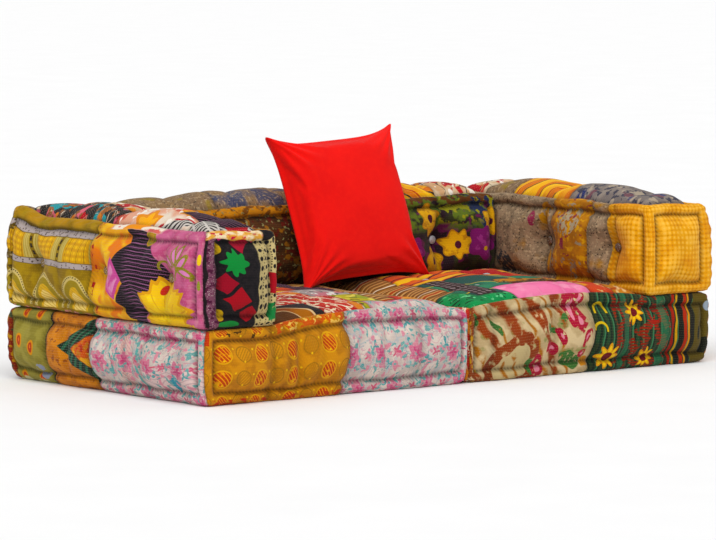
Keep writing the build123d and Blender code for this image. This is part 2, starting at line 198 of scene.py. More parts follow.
def soft_least(a, b, power=4):
    """The lesser of two heights, rounded where they meet: (a^-p + b^-p)^(-1/p)."""
    a, b = np.maximum(a, 1e-4), np.maximum(b, 1e-4)
    return (a**-power + b**-power) ** (-1 / power)


def eased(t):
    """Quarter-round rise from 0 to 1: the root of 1 - (1 - t)^2."""
    return np.sqrt(1 - (1 - np.clip(t, 0, 1)) ** 2)


def roll_height(inside):
    """Height of a stitched edge over its face plane: level to its tangent, then down its arc to the stitching."""
    past = np.clip(inside - ROLL, 0, GROOVE_AT - ROLL)
    return np.where(inside < GROOVE_AT + 1e-6, np.sqrt(ROLL**2 - past**2) - ROLL, -1.0)


class Side:
    """One of the six faces of a cushion: its normal, and u to the right and v up as seen from outside."""

    FRAMES = {
        "front": ((0, -1, 0), (1, 0, 0), (0, 0, 1)),
        "right": ((1, 0, 0), (0, 1, 0), (0, 0, 1)),
        "rear": ((0, 1, 0), (-1, 0, 0), (0, 0, 1)),
        "left": ((-1, 0, 0), (0, -1, 0), (0, 0, 1)),
        "top": ((0, 0, 1), (1, 0, 0), (0, 1, 0)),
        "base": ((0, 0, -1), (1, 0, 0), (0, -1, 0)),
    }

    def __init__(self, name, low, high, stations):
        self.name = name
        self.normal, self.along, self.up = (np.array(v, float) for v in self.FRAMES[name])
        self.axis = int(np.argmax(np.abs(self.normal)))
        low, high = np.array(low), np.array(high)
        outward = self.normal + self.along * -1 + self.up * -1
        self.corner = np.where(outward > 0, high, low)
        self.u = self.run(self.along, stations)
        self.v = self.run(self.up, stations)
        self.size = (self.u[-1], self.v[-1])

    def run(self, way, stations):
        """Distances from the corner along one way."""
        axis = int(np.argmax(np.abs(way)))
        line = stations[axis]
        return line - line[0] if way[axis] > 0 else (line[-1] - line)[::-1]

    def grid(self):
        """u and v over the face, u first."""
        return np.meshgrid(self.u, self.v, indexing="ij")

    def points(self, u, v):
        """Points of the face plane."""
        return self.corner + u[..., None] * self.along + v[..., None] * self.up


def grid_quads(index, turned=False):
    """Quads between the rows and columns of a grid of point numbers, facing the other way when turned."""
    ring = [index[:-1, :-1], index[1:, :-1], index[1:, 1:], index[:-1, 1:]]
    return np.stack(ring[::-1] if turned else ring, -1).reshape(-1, 4)


def button_backs(name, axis, places):
    """Both buttons of each tie: face, the two axes across the tie, place on them, and where the button's back lies
    along the tie."""
    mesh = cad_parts[name + "_buttons"].data
    points = np.zeros(len(mesh.vertices) * 3, np.float32)
    mesh.vertices.foreach_get("co", points)
    points = points.reshape(-1, 3)
    middle = (points[:, axis].min() + points[:, axis].max()) / 2
    others = [k for k in range(3) if k != axis]
    ends = (("left", "right"), ("front", "rear"), ("base", "top"))[axis]
    found = []
    for place in places:
        near = np.hypot(*(points[:, others] - place).T) < 2 * BUTTON_RADIUS
        along = points[near, axis]
        found.append((ends[0], others, place, along[along < middle].max()))
        found.append((ends[1], others, place, along[along > middle].min()))
    return found


class Cushion:
    """Cover of one mattress cushion: a box of six grids, rolled, crowned and tufted, welded into one closed mesh."""

    def __init__(self, name, low, high, axis, tufts, cuts, panels, level):
        self.name, self.low, self.high = name, np.array(low, float), np.array(high, float)
        self.stations = [spaced(edge_stops(low[k], high[k], cuts[k])) for k in range(3)]
        self.sides = [Side(n, low, high, self.stations) for n in Side.FRAMES]
        self.panels = panels  # stuffed height of each side, as a function of u, v and the side's size
        self.level = level  # where a side lies flat on a neighbour or on the floor
        self.lower = name.endswith("seat")
        self.backs = button_backs(name, axis, tufts)
        self.build()

    def rounded(self, points):
        """Box points moved onto the stitched edges: out from the core, which is the box less a roll, by one roll."""
        core = np.clip(points, self.low + ROLL, self.high - ROLL)
        out = points - core
        length = np.linalg.norm(out, axis=-1, keepdims=True)
        return core + out * (ROLL / np.maximum(length, 1e-9))

    def meeting(self):
        """The sides that lie against a neighbour or the floor."""
        return [side for side in self.sides if side.name in MEETING[self.name]]

    def dents(self, side):
        """Middle of each tuft on a side, as u, v and the height of its button's back over the face plane."""
        found = []
        for name, others, place, along in self.backs:
            if name != side.name:
                continue
            point = np.zeros(3)
            point[others] = place
            point[side.axis] = along
            out = point - side.corner
            found.append((out @ side.along, out @ side.up, out @ side.normal))
        return found

    def side_points(self, side):
        """Points of one side: the rounded box, plus the height of its rolls or of its stuffed panel along the normal.
        A tuft draws the panel down to its button: height (1 - w) + button w, with w = exp(-(r / reach)^1.3), and
        holds it there against the unevenness. In front of a seat's middle tuft the cloth is no higher than the button
        plus slope r, so that the button shows."""
        u, v = side.grid()
        width, length = side.size
        inside_u, inside_v = np.minimum(u, width - u), np.minimum(v, length - v)
        inside = np.minimum(inside_u, inside_v)
        rolls = np.maximum(roll_height(inside_u), roll_height(inside_v))
        panel = self.panels[side.name](u, v, side.size)
        height = np.where(inside < GROOVE_AT + 1e-6, rolls, panel)
        level = self.level[side.name](u, v, side.size)
        height = np.where(level, 0.0, height)
        pinned = (inside < GROOVE_AT + 1e-6) | level
        seam, held = np.zeros(u.shape), np.zeros(u.shape)
        reach = INNER_REACH if (side.name, self.name) in DEEP else TUFT_REACH
        for at_u, at_v, back in self.dents(side):
            r = np.hypot(u - at_u, v - at_v)
            w = np.exp(-((np.maximum(r - 0.8 * BUTTON_RADIUS, 0) / reach) ** 1.3))
            height = height * (1 - w) + back * w
            held = np.maximum(held, w)
            middle = math.hypot(at_u - width / 2, at_v - length / 2) < 1e-3
            if middle and side.name == "top" and self.lower:
                low = (v < at_v + 0.02) & (r < VIEW_REACH)
                height = np.where(low, np.minimum(height, back - VIEW_DROP + VIEW_SLOPE * r), height)
            pinned |= r < BUTTON_RADIUS
            # painted shade: the attribute seam darkens the cloth towards each tuft's button, 0.9 at its middle
            seam = np.maximum(seam, 0.9 * np.exp(-((r / TUFT_SHADE) ** 2)))
        box = side.points(u, v)
        # painted shade along the groove beside each stitched edge, except where the side lies flat on a neighbour
        seam = np.maximum(seam, np.exp(-(((inside - GROOVE_AT) / STITCH_SHADE) ** 2)) * (~level))
        return box, self.rounded(box) + height[..., None] * side.normal, pinned, seam, held

    def build(self):
        """Six grids, welded along the edges of the box. Where corners meet in a point, the first side's counts."""
        parts, quads, start = [], [], 0
        for k, side in enumerate(self.sides):
            box, points, pinned, seam, held = self.side_points(side)
            shape = len(side.u), len(side.v)
            quads.append(grid_quads(start + np.arange(shape[0] * shape[1]).reshape(shape)))
            flat = [a.reshape(-1) for a in (pinned, seam, held, np.full(shape, k))]
            parts.append([box.reshape(-1, 3), points.reshape(-1, 3), np.stack(side.grid(), -1).reshape(-1, 2), *flat])
            start += shape[0] * shape[1]
        boxes, shaped, self.uv, *rest = (np.concatenate(part) for part in zip(*parts))
        keys = np.round(boxes * 1e5).astype(np.int64)
        _, first, welded = np.unique(keys, axis=0, return_index=True, return_inverse=True)
        self.pinned, self.seam, held, self.owner = (values[first] for values in rest)
        self.loose = np.concatenate(quads)
        self.quads = welded.reshape(-1)[self.loose]
        self.side_of = np.concatenate([np.full(len(q), k) for k, q in enumerate(quads)])
        self.owner_uv = self.uv[first]
        box = boxes[first]
        moved = waver(box, self.low, self.high, STILL[self.name], BOW[self.name], self.lower)
        self.points = shaped[first] + (1 - held)[:, None] * moved
        self.points[:, 2] += stuffed_up(box, self.low, self.high, self.lower)

    def fabric_uv(self):
        """Side and u, v in metres of each corner of each quad. Stitched edges of the top and the base are cut from the
        side's cloth, so there u, v run on past the side's own edge."""
        corner = self.uv[self.loose].copy()
        middle = corner.mean(1)
        side_of = self.side_of.copy()
        order = list(Side.FRAMES)
        for name in ("top", "base"):
            k = order.index(name)
            width, length = self.sides[k].size
            mine = np.flatnonzero(self.side_of == k)
            u, v = middle[mine, 0], middle[mine, 1]
            room = np.stack([v, length - v, u, width - u])
            nearest, least = room.argmin(0), room.min(0)
            over = self.sides[0].size[1]
            cu, cv = corner[mine, :, 0], corner[mine, :, 1]
            if name == "top":
                turned = [("front", cu, over + cv), ("rear", width - cu, over + length - cv),
                          ("left", length - cv, over + cu), ("right", cv, over + width - cu)]
            else:
                turned = [("rear", width - cu, -cv), ("front", cu, cv - length),
                          ("left", cv, -cu), ("right", length - cv, cu - width)]
            for way, (side, new_u, new_v) in enumerate(turned):
                chosen = (nearest == way) & (least < GROOVE_AT)
                corner[mine[chosen]] = np.stack([new_u[chosen], new_v[chosen]], -1)
                side_of[mine[chosen]] = order.index(side)
        return side_of, corner


def never(u, v, size):
    """A side that lies flat on nothing."""
    return np.zeros(u.shape, bool)


def always(u, v, size):
    """A side that lies flat on a neighbour or on the floor all over."""
    return np.ones(u.shape, bool)


def flat_where(**sides):
    """Where each side of a cushion lies flat: nowhere, unless it is named."""
    return {name: never for name in Side.FRAMES} | sides


def rise(u, v, size):
    """Quarter-round rise of a panel from its stitching: eased over the distance past it, both ways."""
    near_u = np.minimum(u, size[0] - u) - GROOVE_AT
    near_v = np.minimum(v, size[1] - v) - GROOVE_AT
    return eased(near_u / PANEL_RISE) * eased(near_v / PANEL_RISE)


def drawn(at, places, width, depth):
    """Creases: depth times exp(-(distance / width)) at each place, the deepest one counting."""
    if not len(places):
        return np.zeros_like(at)
    return depth * np.exp(-np.min([np.abs(at - p) for p in places], 0) / width)


def side_panel(swell, creases=(), depth=0.010, free=(-9, 9)):
    """Side panel that swells between its stitched edges, with upright creases at shares of its length. Outside the
    part that is free, where a neighbour stands against it, the swelling fades to nothing."""
    def height(u, v, size):
        share = np.clip(np.minimum(u - free[0], free[1] - u) / SWELL_FADE, 0, 1)
        full = -GROOVE_DEPTH + (GROOVE_DEPTH + swell * share) * rise(u, v, size)
        return full - drawn(u, [c * size[0] for c in creases], CREASE_FADE, depth) * rise(u, v, size)
    return height


def seat_top(mirrored):
    """Crown over the free part of a seat's top: the lesser, rounded, of sin(pi a) and sin(pi b), lower in front of the
    middle, with a puff in each field between the creases through the tufts, fuller towards the back, and one plump
    field at the front of the right seat."""
    def height(u, v, size):
        w = size[0] - u if mirrored else u
        a = np.clip((w - BOLSTER_WIDTH) / (size[0] - GROOVE_AT - BOLSTER_WIDTH), 0, 1)
        b = np.clip((v - GROOVE_AT) / (size[1] - BOLSTER_WIDTH - GROOVE_AT), 0, 1)
        middle = size[0] / 2
        in_front, behind = np.clip((middle - v) / 0.1, 0, 1), np.clip((v - middle) / 0.1, 0, 1)
        crown = SEAT_CROWN * soft_least(np.sin(np.pi * a), np.sin(np.pi * b)) * (1 - FRONT_LESS * in_front)
        across = puff(w, [BOLSTER_WIDTH, middle, middle + SEAT_TUFT_PITCH, size[0] - GROOVE_AT])
        along = puff(v, [GROOVE_AT, middle - SEAT_TUFT_PITCH, middle, size[1] - BOLSTER_WIDTH])
        inside = (a > 0) & (a < 1) & (b > 0) & (b < 1)
        dip = GROOVE_DEPTH * np.exp(-(np.minimum(v, size[0] - w) - GROOVE_AT) / DIP_FADE)
        full = PUFF * (1 + REAR_MORE * behind)
        off_w, off_v = (w - PLUMP_AT[0]) / PLUMP_REACH[0], (v - PLUMP_AT[1]) / PLUMP_REACH[1]
        plump = PLUMP * np.exp(-(off_w**2) - off_v**2) if mirrored else 0
        return np.where(inside, crown + plump + full * soft_least(across, along), 0) - np.where(inside, dip, 0)
    return height


def under_bolsters(mirrored):
    """Strips of a seat's top that its arm and the back stand on."""
    def mask(u, v, size):
        w = size[0] - u if mirrored else u
        return (w < BOLSTER_WIDTH + 1e-6) | (v > size[1] - BOLSTER_WIDTH - 1e-6)
    return mask


def bolster_top(lengthwise):
    """Arched top of a bolster: the lesser, rounded, of its arch across, crown times the root of 4 t (1 - t), and of its
    puffs along. lengthwise is the axis that it runs along."""
    def height(u, v, size):
        across, along, length = (u, v, size[1]) if lengthwise == 1 else (v, u, size[0])
        width = size[0] if lengthwise == 1 else size[1]
        t = np.clip((across - GROOVE_AT) / (width - 2 * GROOVE_AT), 0, 1)
        s = np.clip((along - GROOVE_AT) / (length - 2 * GROOVE_AT), 0, 1)
        knots = [GROOVE_AT, *(length * k for k in BOLSTER_TUFTS), length - GROOVE_AT]
        arch = BOLSTER_CROWN * np.sqrt(4 * t * (1 - t))
        puffs = BOLSTER_RISE * np.sin(np.pi * s) + (ARM_PUFF if lengthwise == 1 else BACK_PUFF) * puff(along, knots)
        edge = np.minimum(np.minimum(u, size[0] - u), np.minimum(v, size[1] - v))
        dip = GROOVE_DEPTH * np.exp(-(edge - GROOVE_AT) / DIP_FADE)
        return soft_least(arch, puffs) - dip
    return height


def make_cushions():
    """The five covers, laid as the solids are."""
    half = SEAT_SIDE / 2
    middle = BOLSTER_BASE + (BOLSTER_TOP - BOLSTER_BASE) / 2
    pitches = (-SEAT_TUFT_PITCH, 0.0, SEAT_TUFT_PITCH)
    along_arm = [-half + SEAT_SIDE * s for s in BOLSTER_TUFTS]
    made = []
    for mirrored, hand, other, way in ((False, "left", "right", -1), (True, "right", "left", 1)):
        low_x, high_x = sorted((way * SEAT_SIDE, way * SEAM_GAP))
        columns = [way * (half + pitch) for pitch in pitches]
        foot = way * ARM_LINE
        free = side_panel(SIDE_SWELL, CHANNELS, DEEP_CREASE)
        panels = {
            "front": free, "rear": free, hand: free, other: side_panel(FLUSH),
            "top": seat_top(mirrored), "base": side_panel(0),
        }
        made.append(Cushion(
            hand + "_seat", (low_x, -half, 0.0), (high_x, half, SEAT_TOP), 2,
            [(x, y) for x in columns for y in pitches], (sorted([*columns, foot]), [*pitches, FOOT_LINE], []),
            panels, flat_where(base=always, top=under_bolsters(mirrored)),
        ))
        low_x, high_x = sorted((way * SEAT_SIDE, foot))
        clear = (BOLSTER_WIDTH, 9) if mirrored else (-9, ARM_LINE)  # of the back, which stands against the inner side
        panels = {
            "front": side_panel(SIDE_SWELL), "rear": side_panel(SIDE_SWELL),
            hand: side_panel(SIDE_SWELL, BOLSTER_TUFTS, SHALLOW_CREASE),
            other: side_panel(INNER_SWELL, BOLSTER_TUFTS, DEEP_CREASE, clear),
            "top": bolster_top(1), "base": side_panel(0),
        }
        made.append(Cushion(
            hand + "_arm", (low_x, -half, BOLSTER_BASE), (high_x, half, BOLSTER_TOP), 0,
            [(y, middle) for y in along_arm], ([], along_arm, [middle]), panels, flat_where(base=always),
        ))
    reach = ARM_LINE - 2 * SEAM_GAP
    places = [-reach + 2 * reach * s for s in BOLSTER_TUFTS]
    panels = {
        "front": side_panel(INNER_SWELL, BOLSTER_TUFTS, DEEP_CREASE),
        "rear": side_panel(SIDE_SWELL, BOLSTER_TUFTS, SHALLOW_CREASE),
        "left": side_panel(FLUSH), "right": side_panel(FLUSH), "top": bolster_top(0), "base": side_panel(0),
    }
    made.append(Cushion(
        "back", (-reach, FOOT_LINE, BOLSTER_BASE), (reach, half, BOLSTER_TOP), 1,
        [(x, middle) for x in places], (places, [], [middle]),
        panels, flat_where(base=always, left=always, right=always),
    ))
    return made


def in_scene(name, data):
    """An object of this data, in the scene."""
    piece = bpy.data.objects.new(name, data)
    bpy.context.scene.collection.objects.link(piece)
    return piece


def mesh_of(name, points, quads):
    """A smooth mesh object of these points and quads, in the scene."""
    mesh = bpy.data.meshes.new(name)
    mesh.from_pydata(points.tolist(), [], quads.tolist())
    mesh.polygons.foreach_set("use_smooth", np.ones(len(quads), bool))
    mesh.update()
    return in_scene(name, mesh)


def give_uv(mesh, corners):
    """The UV map cloth, in metres, from u and v of each corner of each quad."""
    layer = mesh.uv_layers.new(name="cloth")
    layer.data.foreach_set("uv", corners.reshape(-1).astype(np.float32))


def subdivided(piece):
    """One subdivision, the same in the view and in the render."""
    fine = piece.modifiers.new("fine", "SUBSURF")
    fine.levels = fine.render_levels = 1


def stuff(covers):
    """Cloth simulation of all covers at once: pressure from the stuffing, held along the stitching and at the tufts.
    Returns where each cover's points come to rest."""
    canvas = {
        "quality": 5, "mass": 0.3, "air_damping": 2.0, "tension_stiffness": 18, "compression_stiffness": 18,
        "shear_stiffness": 8, "bending_stiffness": 0.6, "use_pressure": True,
    }
    pads = []
    for name, points, quads, pinned, pressure, spare in covers:
        pad = mesh_of(name + "_pad", points, quads)
        group = pad.vertex_groups.new(name="stitched")
        group.add(np.flatnonzero(pinned).tolist(), 1.0, "REPLACE")
        cloth = pad.modifiers.new("cloth", "CLOTH")
        for setting, value in canvas.items():
            setattr(cloth.settings, setting, value)
        cloth.settings.uniform_pressure_force = pressure
        cloth.settings.vertex_group_mass = group.name
        cloth.settings.shrink_min = -spare
        cloth.settings.effector_weights.gravity = 0
        cloth.collision_settings.use_collision = False
        cloth.collision_settings.use_self_collision = False
        cloth.point_cache.frame_start, cloth.point_cache.frame_end = 1, SIM_FRAMES
        pads.append(pad)
    scene = bpy.context.scene
    for frame_number in range(1, SIM_FRAMES + 1):
        scene.frame_set(frame_number)
    graph = bpy.context.evaluated_depsgraph_get()
    settled = []
    for pad in pads:
        mesh = pad.evaluated_get(graph).to_mesh()
        points = np.zeros(len(mesh.vertices) * 3, np.float32)
        mesh.vertices.foreach_get("co", points)
        settled.append(points.reshape(-1, 3).astype(float))
    for pad in pads:
        bpy.data.objects.remove(pad)
    scene.frame_set(1)
    return settled


def capped(start, points, cap):
    """Where points come to lie when none of them may move further than its cap from its start."""
    moved = points - start
    far = np.linalg.norm(moved, axis=1, keepdims=True)
    return start + moved * np.minimum(1, cap[:, None] / np.maximum(far, 1e-9))


def settle(cushion, points):
    """Caps how far the simulation moved the cloth, and keeps every face that meets a neighbour behind its own plane."""
    cap = np.full(len(points), SWELL_CAP)
    if cushion.lower:
        cap[cushion.points[:, 2] > SEAT_TOP - 0.01] = SEAT_CAP
    points = capped(cushion.points, points, cap)
    for side in cushion.meeting():
        inner_of = np.minimum if side.normal[side.axis] > 0 else np.maximum
        points[:, side.axis] = inner_of(points[:, side.axis], side.corner[side.axis])
    if cushion.name.endswith("arm"):
        beside = points[:, 1] > FOOT_LINE - 0.015  # the back stands there
        way = -1 if cushion.name == "left_arm" else 1
        points[beside, 0] = way * np.maximum(way * points[beside, 0], ARM_LINE)
    return points


def cover(cushion, points, patches):
    """The finished cover: its patches as materials, u, v in metres of cloth, each sewn seam between two patches drawn
    in, and one subdivision. patches gives each side's cloths with the fields they fill, the later over the earlier.
    The attribute seam says how far a point lies in a stitched groove, pleat, tuft or patch seam, from 0 to 1; the
    cloths are darkened by it there as painted shade."""
    side_of, corner = cushion.fabric_uv()
    u, v = corner.mean(1).T
    chosen = np.zeros(len(cushion.quads), int)
    used = []
    for k, side in enumerate(Side.FRAMES):
        for fabric, (u0, u1, v0, v1) in patches[side]:
            mask = (side_of == k) & (u >= u0) & (u < u1) & (v >= v0) & (v < v1)
            if not mask.any():
                continue
            if fabric not in used:
                used.append(fabric)
            chosen[mask] = used.index(fabric)
    piece = mesh_of(cushion.name + "_cover", points, cushion.quads)
    mesh = piece.data
    for fabric in used:
        mesh.materials.append(fabric)
    give_uv(mesh, corner)
    mesh.polygons.foreach_set("material_index", chosen)
    most, least = np.full(len(points), -1), np.full(len(points), len(used))
    np.maximum.at(most, cushion.quads.reshape(-1), np.repeat(chosen, 4))
    np.minimum.at(least, cushion.quads.reshape(-1), np.repeat(chosen, 4))
    normals = np.zeros(len(points) * 3, np.float32)
    mesh.vertices.foreach_get("normal", normals)
    sewn = (most > least) & ~on_plane(cushion, points)
    # painted shade: 0.75 along each sewn seam between two patches, over the shade of the grooves, pleats and tufts
    seam = mesh.attributes.new("seam", "FLOAT", "POINT")
    seam.data.foreach_set("value", np.clip(np.maximum(cushion.seam, 0.75 * sewn), 0, 1).astype(np.float32))
    drawn_in = points - PATCH_SEAM * sewn[:, None] * normals.reshape(-1, 3)
    mesh.vertices.foreach_set("co", drawn_in.reshape(-1).astype(np.float32))
    mesh.update()
    subdivided(piece)
    return piece


def creased(cushion, points):
    """Pleats and patch seams, drawn into the settled cover: in along the side's normal by depth exp(-(d / width)^0.8),
    d being the distance along the side from a line that wavers."""
    points = points.copy()
    for k, side in enumerate(cushion.sides):
        mine = cushion.owner == k
        u, v = cushion.owner_uv[mine, 0], cushion.owner_uv[mine, 1]
        depth = np.zeros(len(u))
        for place, deep in CREASES.get((cushion.name, side.name), ()):
            away = np.abs(u - place - CREASE_WAVER * np.sin(31 * v + 40 * place))
            depth = np.maximum(depth, deep * np.exp(-((away / CREASE_WIDTH) ** 0.8)))
        # painted shade in each pleat and patch seam, by its depth
        cushion.seam[mine] = np.maximum(cushion.seam[mine], depth / 0.015)
        edge = np.minimum(v, side.size[1] - v)
        points[mine] -= (depth * (0.45 + 0.55 * np.clip(edge / 0.03, 0, 1)))[:, None] * side.normal
    return points


def on_plane(cushion, points):
    """Points on a face that meets a neighbour or the floor."""
    return np.any([np.abs(points[:, s.axis] - s.corner[s.axis]) < 1e-4 for s in cushion.meeting()], 0)


STITCH_ROW, STITCH_LENGTH = 0.0072, 0.0062  # pitches of the running stitches
WEAVE = 3100.0  # threads as radians per metre


def dye(code):
    """Linear colour of a dye given as its hex code."""
    parts = [int(code[i:i + 2], 16) / 255 for i in (0, 2, 4)]
    return tuple(p / 12.92 if p < 0.04 else ((p + 0.055) / 1.055) ** 2.4 for p in parts) + (1.0,)


class Term:
    """A number in a material's nodes. The operators add Math nodes."""

    def __init__(self, tree, socket):
        self.tree, self.socket = tree, socket

    def math(self, operation, *others, clamp=False):
        """The Math node of this operation, on this number and the others."""
        node = self.tree.nodes.new("ShaderNodeMath")
        node.operation, node.use_clamp = operation, clamp
        for slot, value in zip(node.inputs, (self, *others)):
            if isinstance(value, Term):
                self.tree.links.new(value.socket, slot)
            else:
                slot.default_value = value
        return Term(self.tree, node.outputs[0])

    def __add__(self, other): return self.math("ADD", other)
    def __sub__(self, other): return self.math("SUBTRACT", other)
    def __mul__(self, other): return self.math("MULTIPLY", other)
    def __rsub__(self, other): return self.math("MULTIPLY_ADD", -1.0, other)
    __radd__, __rmul__ = __add__, __mul__

    def size(self): return self.math("ABSOLUTE")
    def floor(self): return self.math("FLOOR")
    def sine(self): return self.math("SINE")
    def wrap(self, period): return self.math("WRAP", period / 2, -period / 2)
    def most(self, other): return self.math("MAXIMUM", other)

    def under(self, limit, blur=0.0015):
        """1 where the number is under the limit and 0 above it, over a soft edge."""
        if isinstance(limit, Term):
            return (self - limit).under(0.0, blur)
        return self.math("MULTIPLY_ADD", -1 / blur, limit / blur + 0.5, clamp=True)

    def over(self, limit, blur=0.0015):
        """1 where the number is over the limit and 0 below it, over a soft edge."""
        return self.math("MULTIPLY_ADD", 1 / blur, 0.5 - limit / blur, clamp=True)


class Cloth:
    """A patch of printed or woven cloth: colours laid over each other by masks in u and v, metres along its face. The
    UV map drifts by warp and a little noise, as a hand-laid print does. A piece that isn't cut from a face reads its
    Object coordinates instead."""

    def __init__(self, name, warp=0.004, cut=True):
        self.material = bpy.data.materials.new(name)
        self.material.use_nodes = True
        self.tree = self.material.node_tree
        self.tree.nodes.clear()
        self.colour = None
        if not cut:
            self.place = self.node("ShaderNodeTexCoord").outputs["Object"]
            return
        self.place = self.node("ShaderNodeUVMap", settings={"uv_map": "cloth"}).outputs[0]
        self.plain_u, self.plain_v, _ = self.parts(self.place)
        drift = self.node("ShaderNodeTexNoise", Vector=self.place, Scale=14.0, Detail=1.0)
        drift_u, drift_v, _ = self.parts(drift.outputs["Color"])
        self.u = self.plain_u + (drift_u - 0.5) * (4 * warp)
        self.v = self.plain_v + (drift_v - 0.5) * (4 * warp)

    def parts(self, vector):
        """The three numbers of a vector."""
        split = self.node("ShaderNodeSeparateXYZ", Vector=vector)
        return [Term(self.tree, split.outputs[k]) for k in range(3)]

    def node(self, kind, *, settings=None, **sockets):
        """Adds a node: its settings first, then the values or links of its sockets, each socket given by its name or
        by its number after a bar."""
        node = self.tree.nodes.new(kind)
        for name, value in (settings or {}).items():
            setattr(node, name, value)
        for name, value in sockets.items():
            slot = node.inputs[int(name[1:])] if name[0] == "_" else node.inputs[name.replace("_", " ")]
            if isinstance(value, Term):
                value = value.socket
            if isinstance(value, bpy.types.NodeSocket):
                self.tree.links.new(value, slot)
            else:
                slot.default_value = value
        return node

    def noise(self, scale, detail=2.0, warp=0.0):
        """Soft noise about 0.5, with this many features to the metre."""
        node = self.node(
            "ShaderNodeTexNoise", Vector=self.place, Scale=float(scale), Detail=detail, Distortion=warp)
        return Term(self.tree, node.outputs["Fac"])

    def cells(self, scale, feature="F1"):
        """Distance to the nearest of scattered points, in cells."""
        node = self.node("ShaderNodeTexVoronoi", settings={"feature": feature}, Vector=self.place, Scale=float(scale))
        return Term(self.tree, node.outputs["Distance"])

    def blots(self, scale, share, blur=0.05, detail=2.0, warp=0.0):
        """Blots that cover about this share of the cloth."""
        return self.noise(scale, detail, warp).over(0.5 + 0.32 * (0.5 - share), blur)

    def ground(self, code, second=None, scale=30, share=0.5, blur=0.12):
        """The dye of the whole cloth, and blots of a second one."""
        self.colour = dye(code)
        if second:
            self.lay(second, self.blots(scale, share, blur))

    def lay(self, code, mask):
        """Lays a colour over what is there, where the mask says."""
        node = self.node("ShaderNodeMix", settings={"data_type": "RGBA"}, _0=mask, _6=self.colour,
                         _7=dye(code))
        self.colour = node.outputs[2]

    def blot(self, *layers):
        """Lays colours in blots: for each the colour, then what blots takes."""
        for code, *blots in layers:
            self.lay(code, self.blots(*blots))

    def far(self, u, v, stretch=1.0, turn=0.0):
        """Distance from a point, the way along turn counting less by stretch."""
        return self.length(self.u - u, self.v - v, stretch, turn)

    def length(self, du, dv, stretch=1.0, turn=0.0):
        """Root of du^2 + dv^2, du and dv being turned and du divided by stretch."""
        if turn:
            c, s = math.cos(turn), math.sin(turn)
            du, dv = du * c + dv * s, dv * c - du * s
        if stretch != 1.0:
            du = du * (1 / stretch)
        return (du * du + dv * dv).math("SQRT")

    def lattice(self, pitch_u, pitch_v, at_u=0.0, at_v=0.0, stagger=0.5):
        """u and v from the nearest point of a lattice, each row shifted by a share of the pitch."""
        du, dv = self.u - at_u, self.v - at_v
        if stagger:
            du = du + (dv * (1 / pitch_v) + 0.5).floor() * (pitch_u * stagger)
        return du.wrap(pitch_u), dv.wrap(pitch_v)

    def petals(self, du, dv, radius, count=5, depth=0.25, turn=0.0):
        """Flower: distance under radius (1 - depth + depth cos(count angle + turn))."""
        angle = dv.math("ARCTAN2", du)
        reach = ((angle * count + turn).math("COSINE") * depth + (1 - depth)) * radius
        return self.length(du, dv).under(reach)

    def flower(self, u, v, *shape):
        """A flower about a point."""
        return self.petals(self.u - u, self.v - v, *shape)

    def between(self, x, low, high, blur=0.0015):
        """Where x lies between two limits."""
        return x.over(low, blur) * x.under(high, blur)

    def box(self, u0, u1, v0, v1):
        """Where u and v both lie between their limits."""
        return self.between(self.u, u0, u1) * self.between(self.v, v0, v1)

    def band(self, x, middle, half):
        """Where x is within half of the middle."""
        return (x - middle).size().under(half)

    def lines(self, x, period, share, blur=0.0008):
        """Lines across x, one in each period, that cover this share of it."""
        return x.wrap(period).size().under(period * share / 2, blur)

    def stripes(self, x, *stripes):
        """Lays lines across x: for each the colour, how far it is shifted, its period and share, and its blur."""
        for code, shift, *line in stripes:
            self.lay(code, self.lines(x + shift, *line))

    def diamond(self, du, dv, half_u, half_v):
        """|du| / half_u + |dv| / half_v under 1."""
        return (du.size() * (1 / half_u) + dv.size() * (1 / half_v)).under(1.0, 0.04)

    def slant(self, angle):
        """Distance along a line through the corner at an angle in degrees."""
        a = math.radians(angle)
        return self.u * math.cos(a) + self.v * math.sin(a)

    def finish(self, thread="e9e2d4", fade=0.10, stitch=0.20, quilted=True, full=0.86):
        """Rows of running stitches where it is quilted, the weave, richer dyes, fading over the print, painted shade in
        the grooves, tufts, pleats and patch seams that the attribute seam marks, darker still at the thread's bites,
        and the shader."""
        fibre, worn = self.noise(900, 2.0), self.noise(9, 3.0)
        weave = (self.plain_u * WEAVE).sine() * (self.plain_v * WEAVE).sine()
        height = weave * 0.10 + fibre * 0.25
        if quilted:
            row = (self.plain_v * (1 / STITCH_ROW)).floor()
            dash = (self.plain_u + row * 0.0023).wrap(STITCH_LENGTH).size().under(0.0017, 0.0006)
            line = (self.plain_v + STITCH_ROW / 2).wrap(STITCH_ROW).size().under(0.0007, 0.0008)
            self.lay(thread, dash * line * stitch)
            height = height + dash * line * 0.40 - line * 0.45
        # the attribute seam: where the painted shade of grooves, tufts, pleats and patch seams falls
        seam = Term(self.tree, self.node("ShaderNodeAttribute", settings={"attribute_name": "seam"}).outputs["Fac"])
        bite = (self.plain_u + self.plain_v).wrap(0.0120).size().under(0.0030, 0.002)
        rich = self.node("ShaderNodeHueSaturation", Color=self.colour, Saturation=1.12)
        # painted shade: the cloth darkens by half where seam is 1, and up to 0.22 more at the dark thread's bites,
        # times the random fading
        fading_and_painted_shade = self.grey((worn * (2 * fade) + fibre * 0.16 + (full - fade)) * (1 - seam * (bite * 0.22 + 0.50)))
        shade = self.node("ShaderNodeMix", settings={"data_type": "RGBA", "blend_type": "MULTIPLY"},
                          _0=1.0, _6=rich.outputs[0], _7=fading_and_painted_shade)
        return self.shade(shade.outputs[2], worn * 0.12 + fibre * 0.1 + 0.72, height, 0.0016,
                          Sheen_Weight=0.05, Sheen_Roughness=0.5, Specular_IOR_Level=0.14)

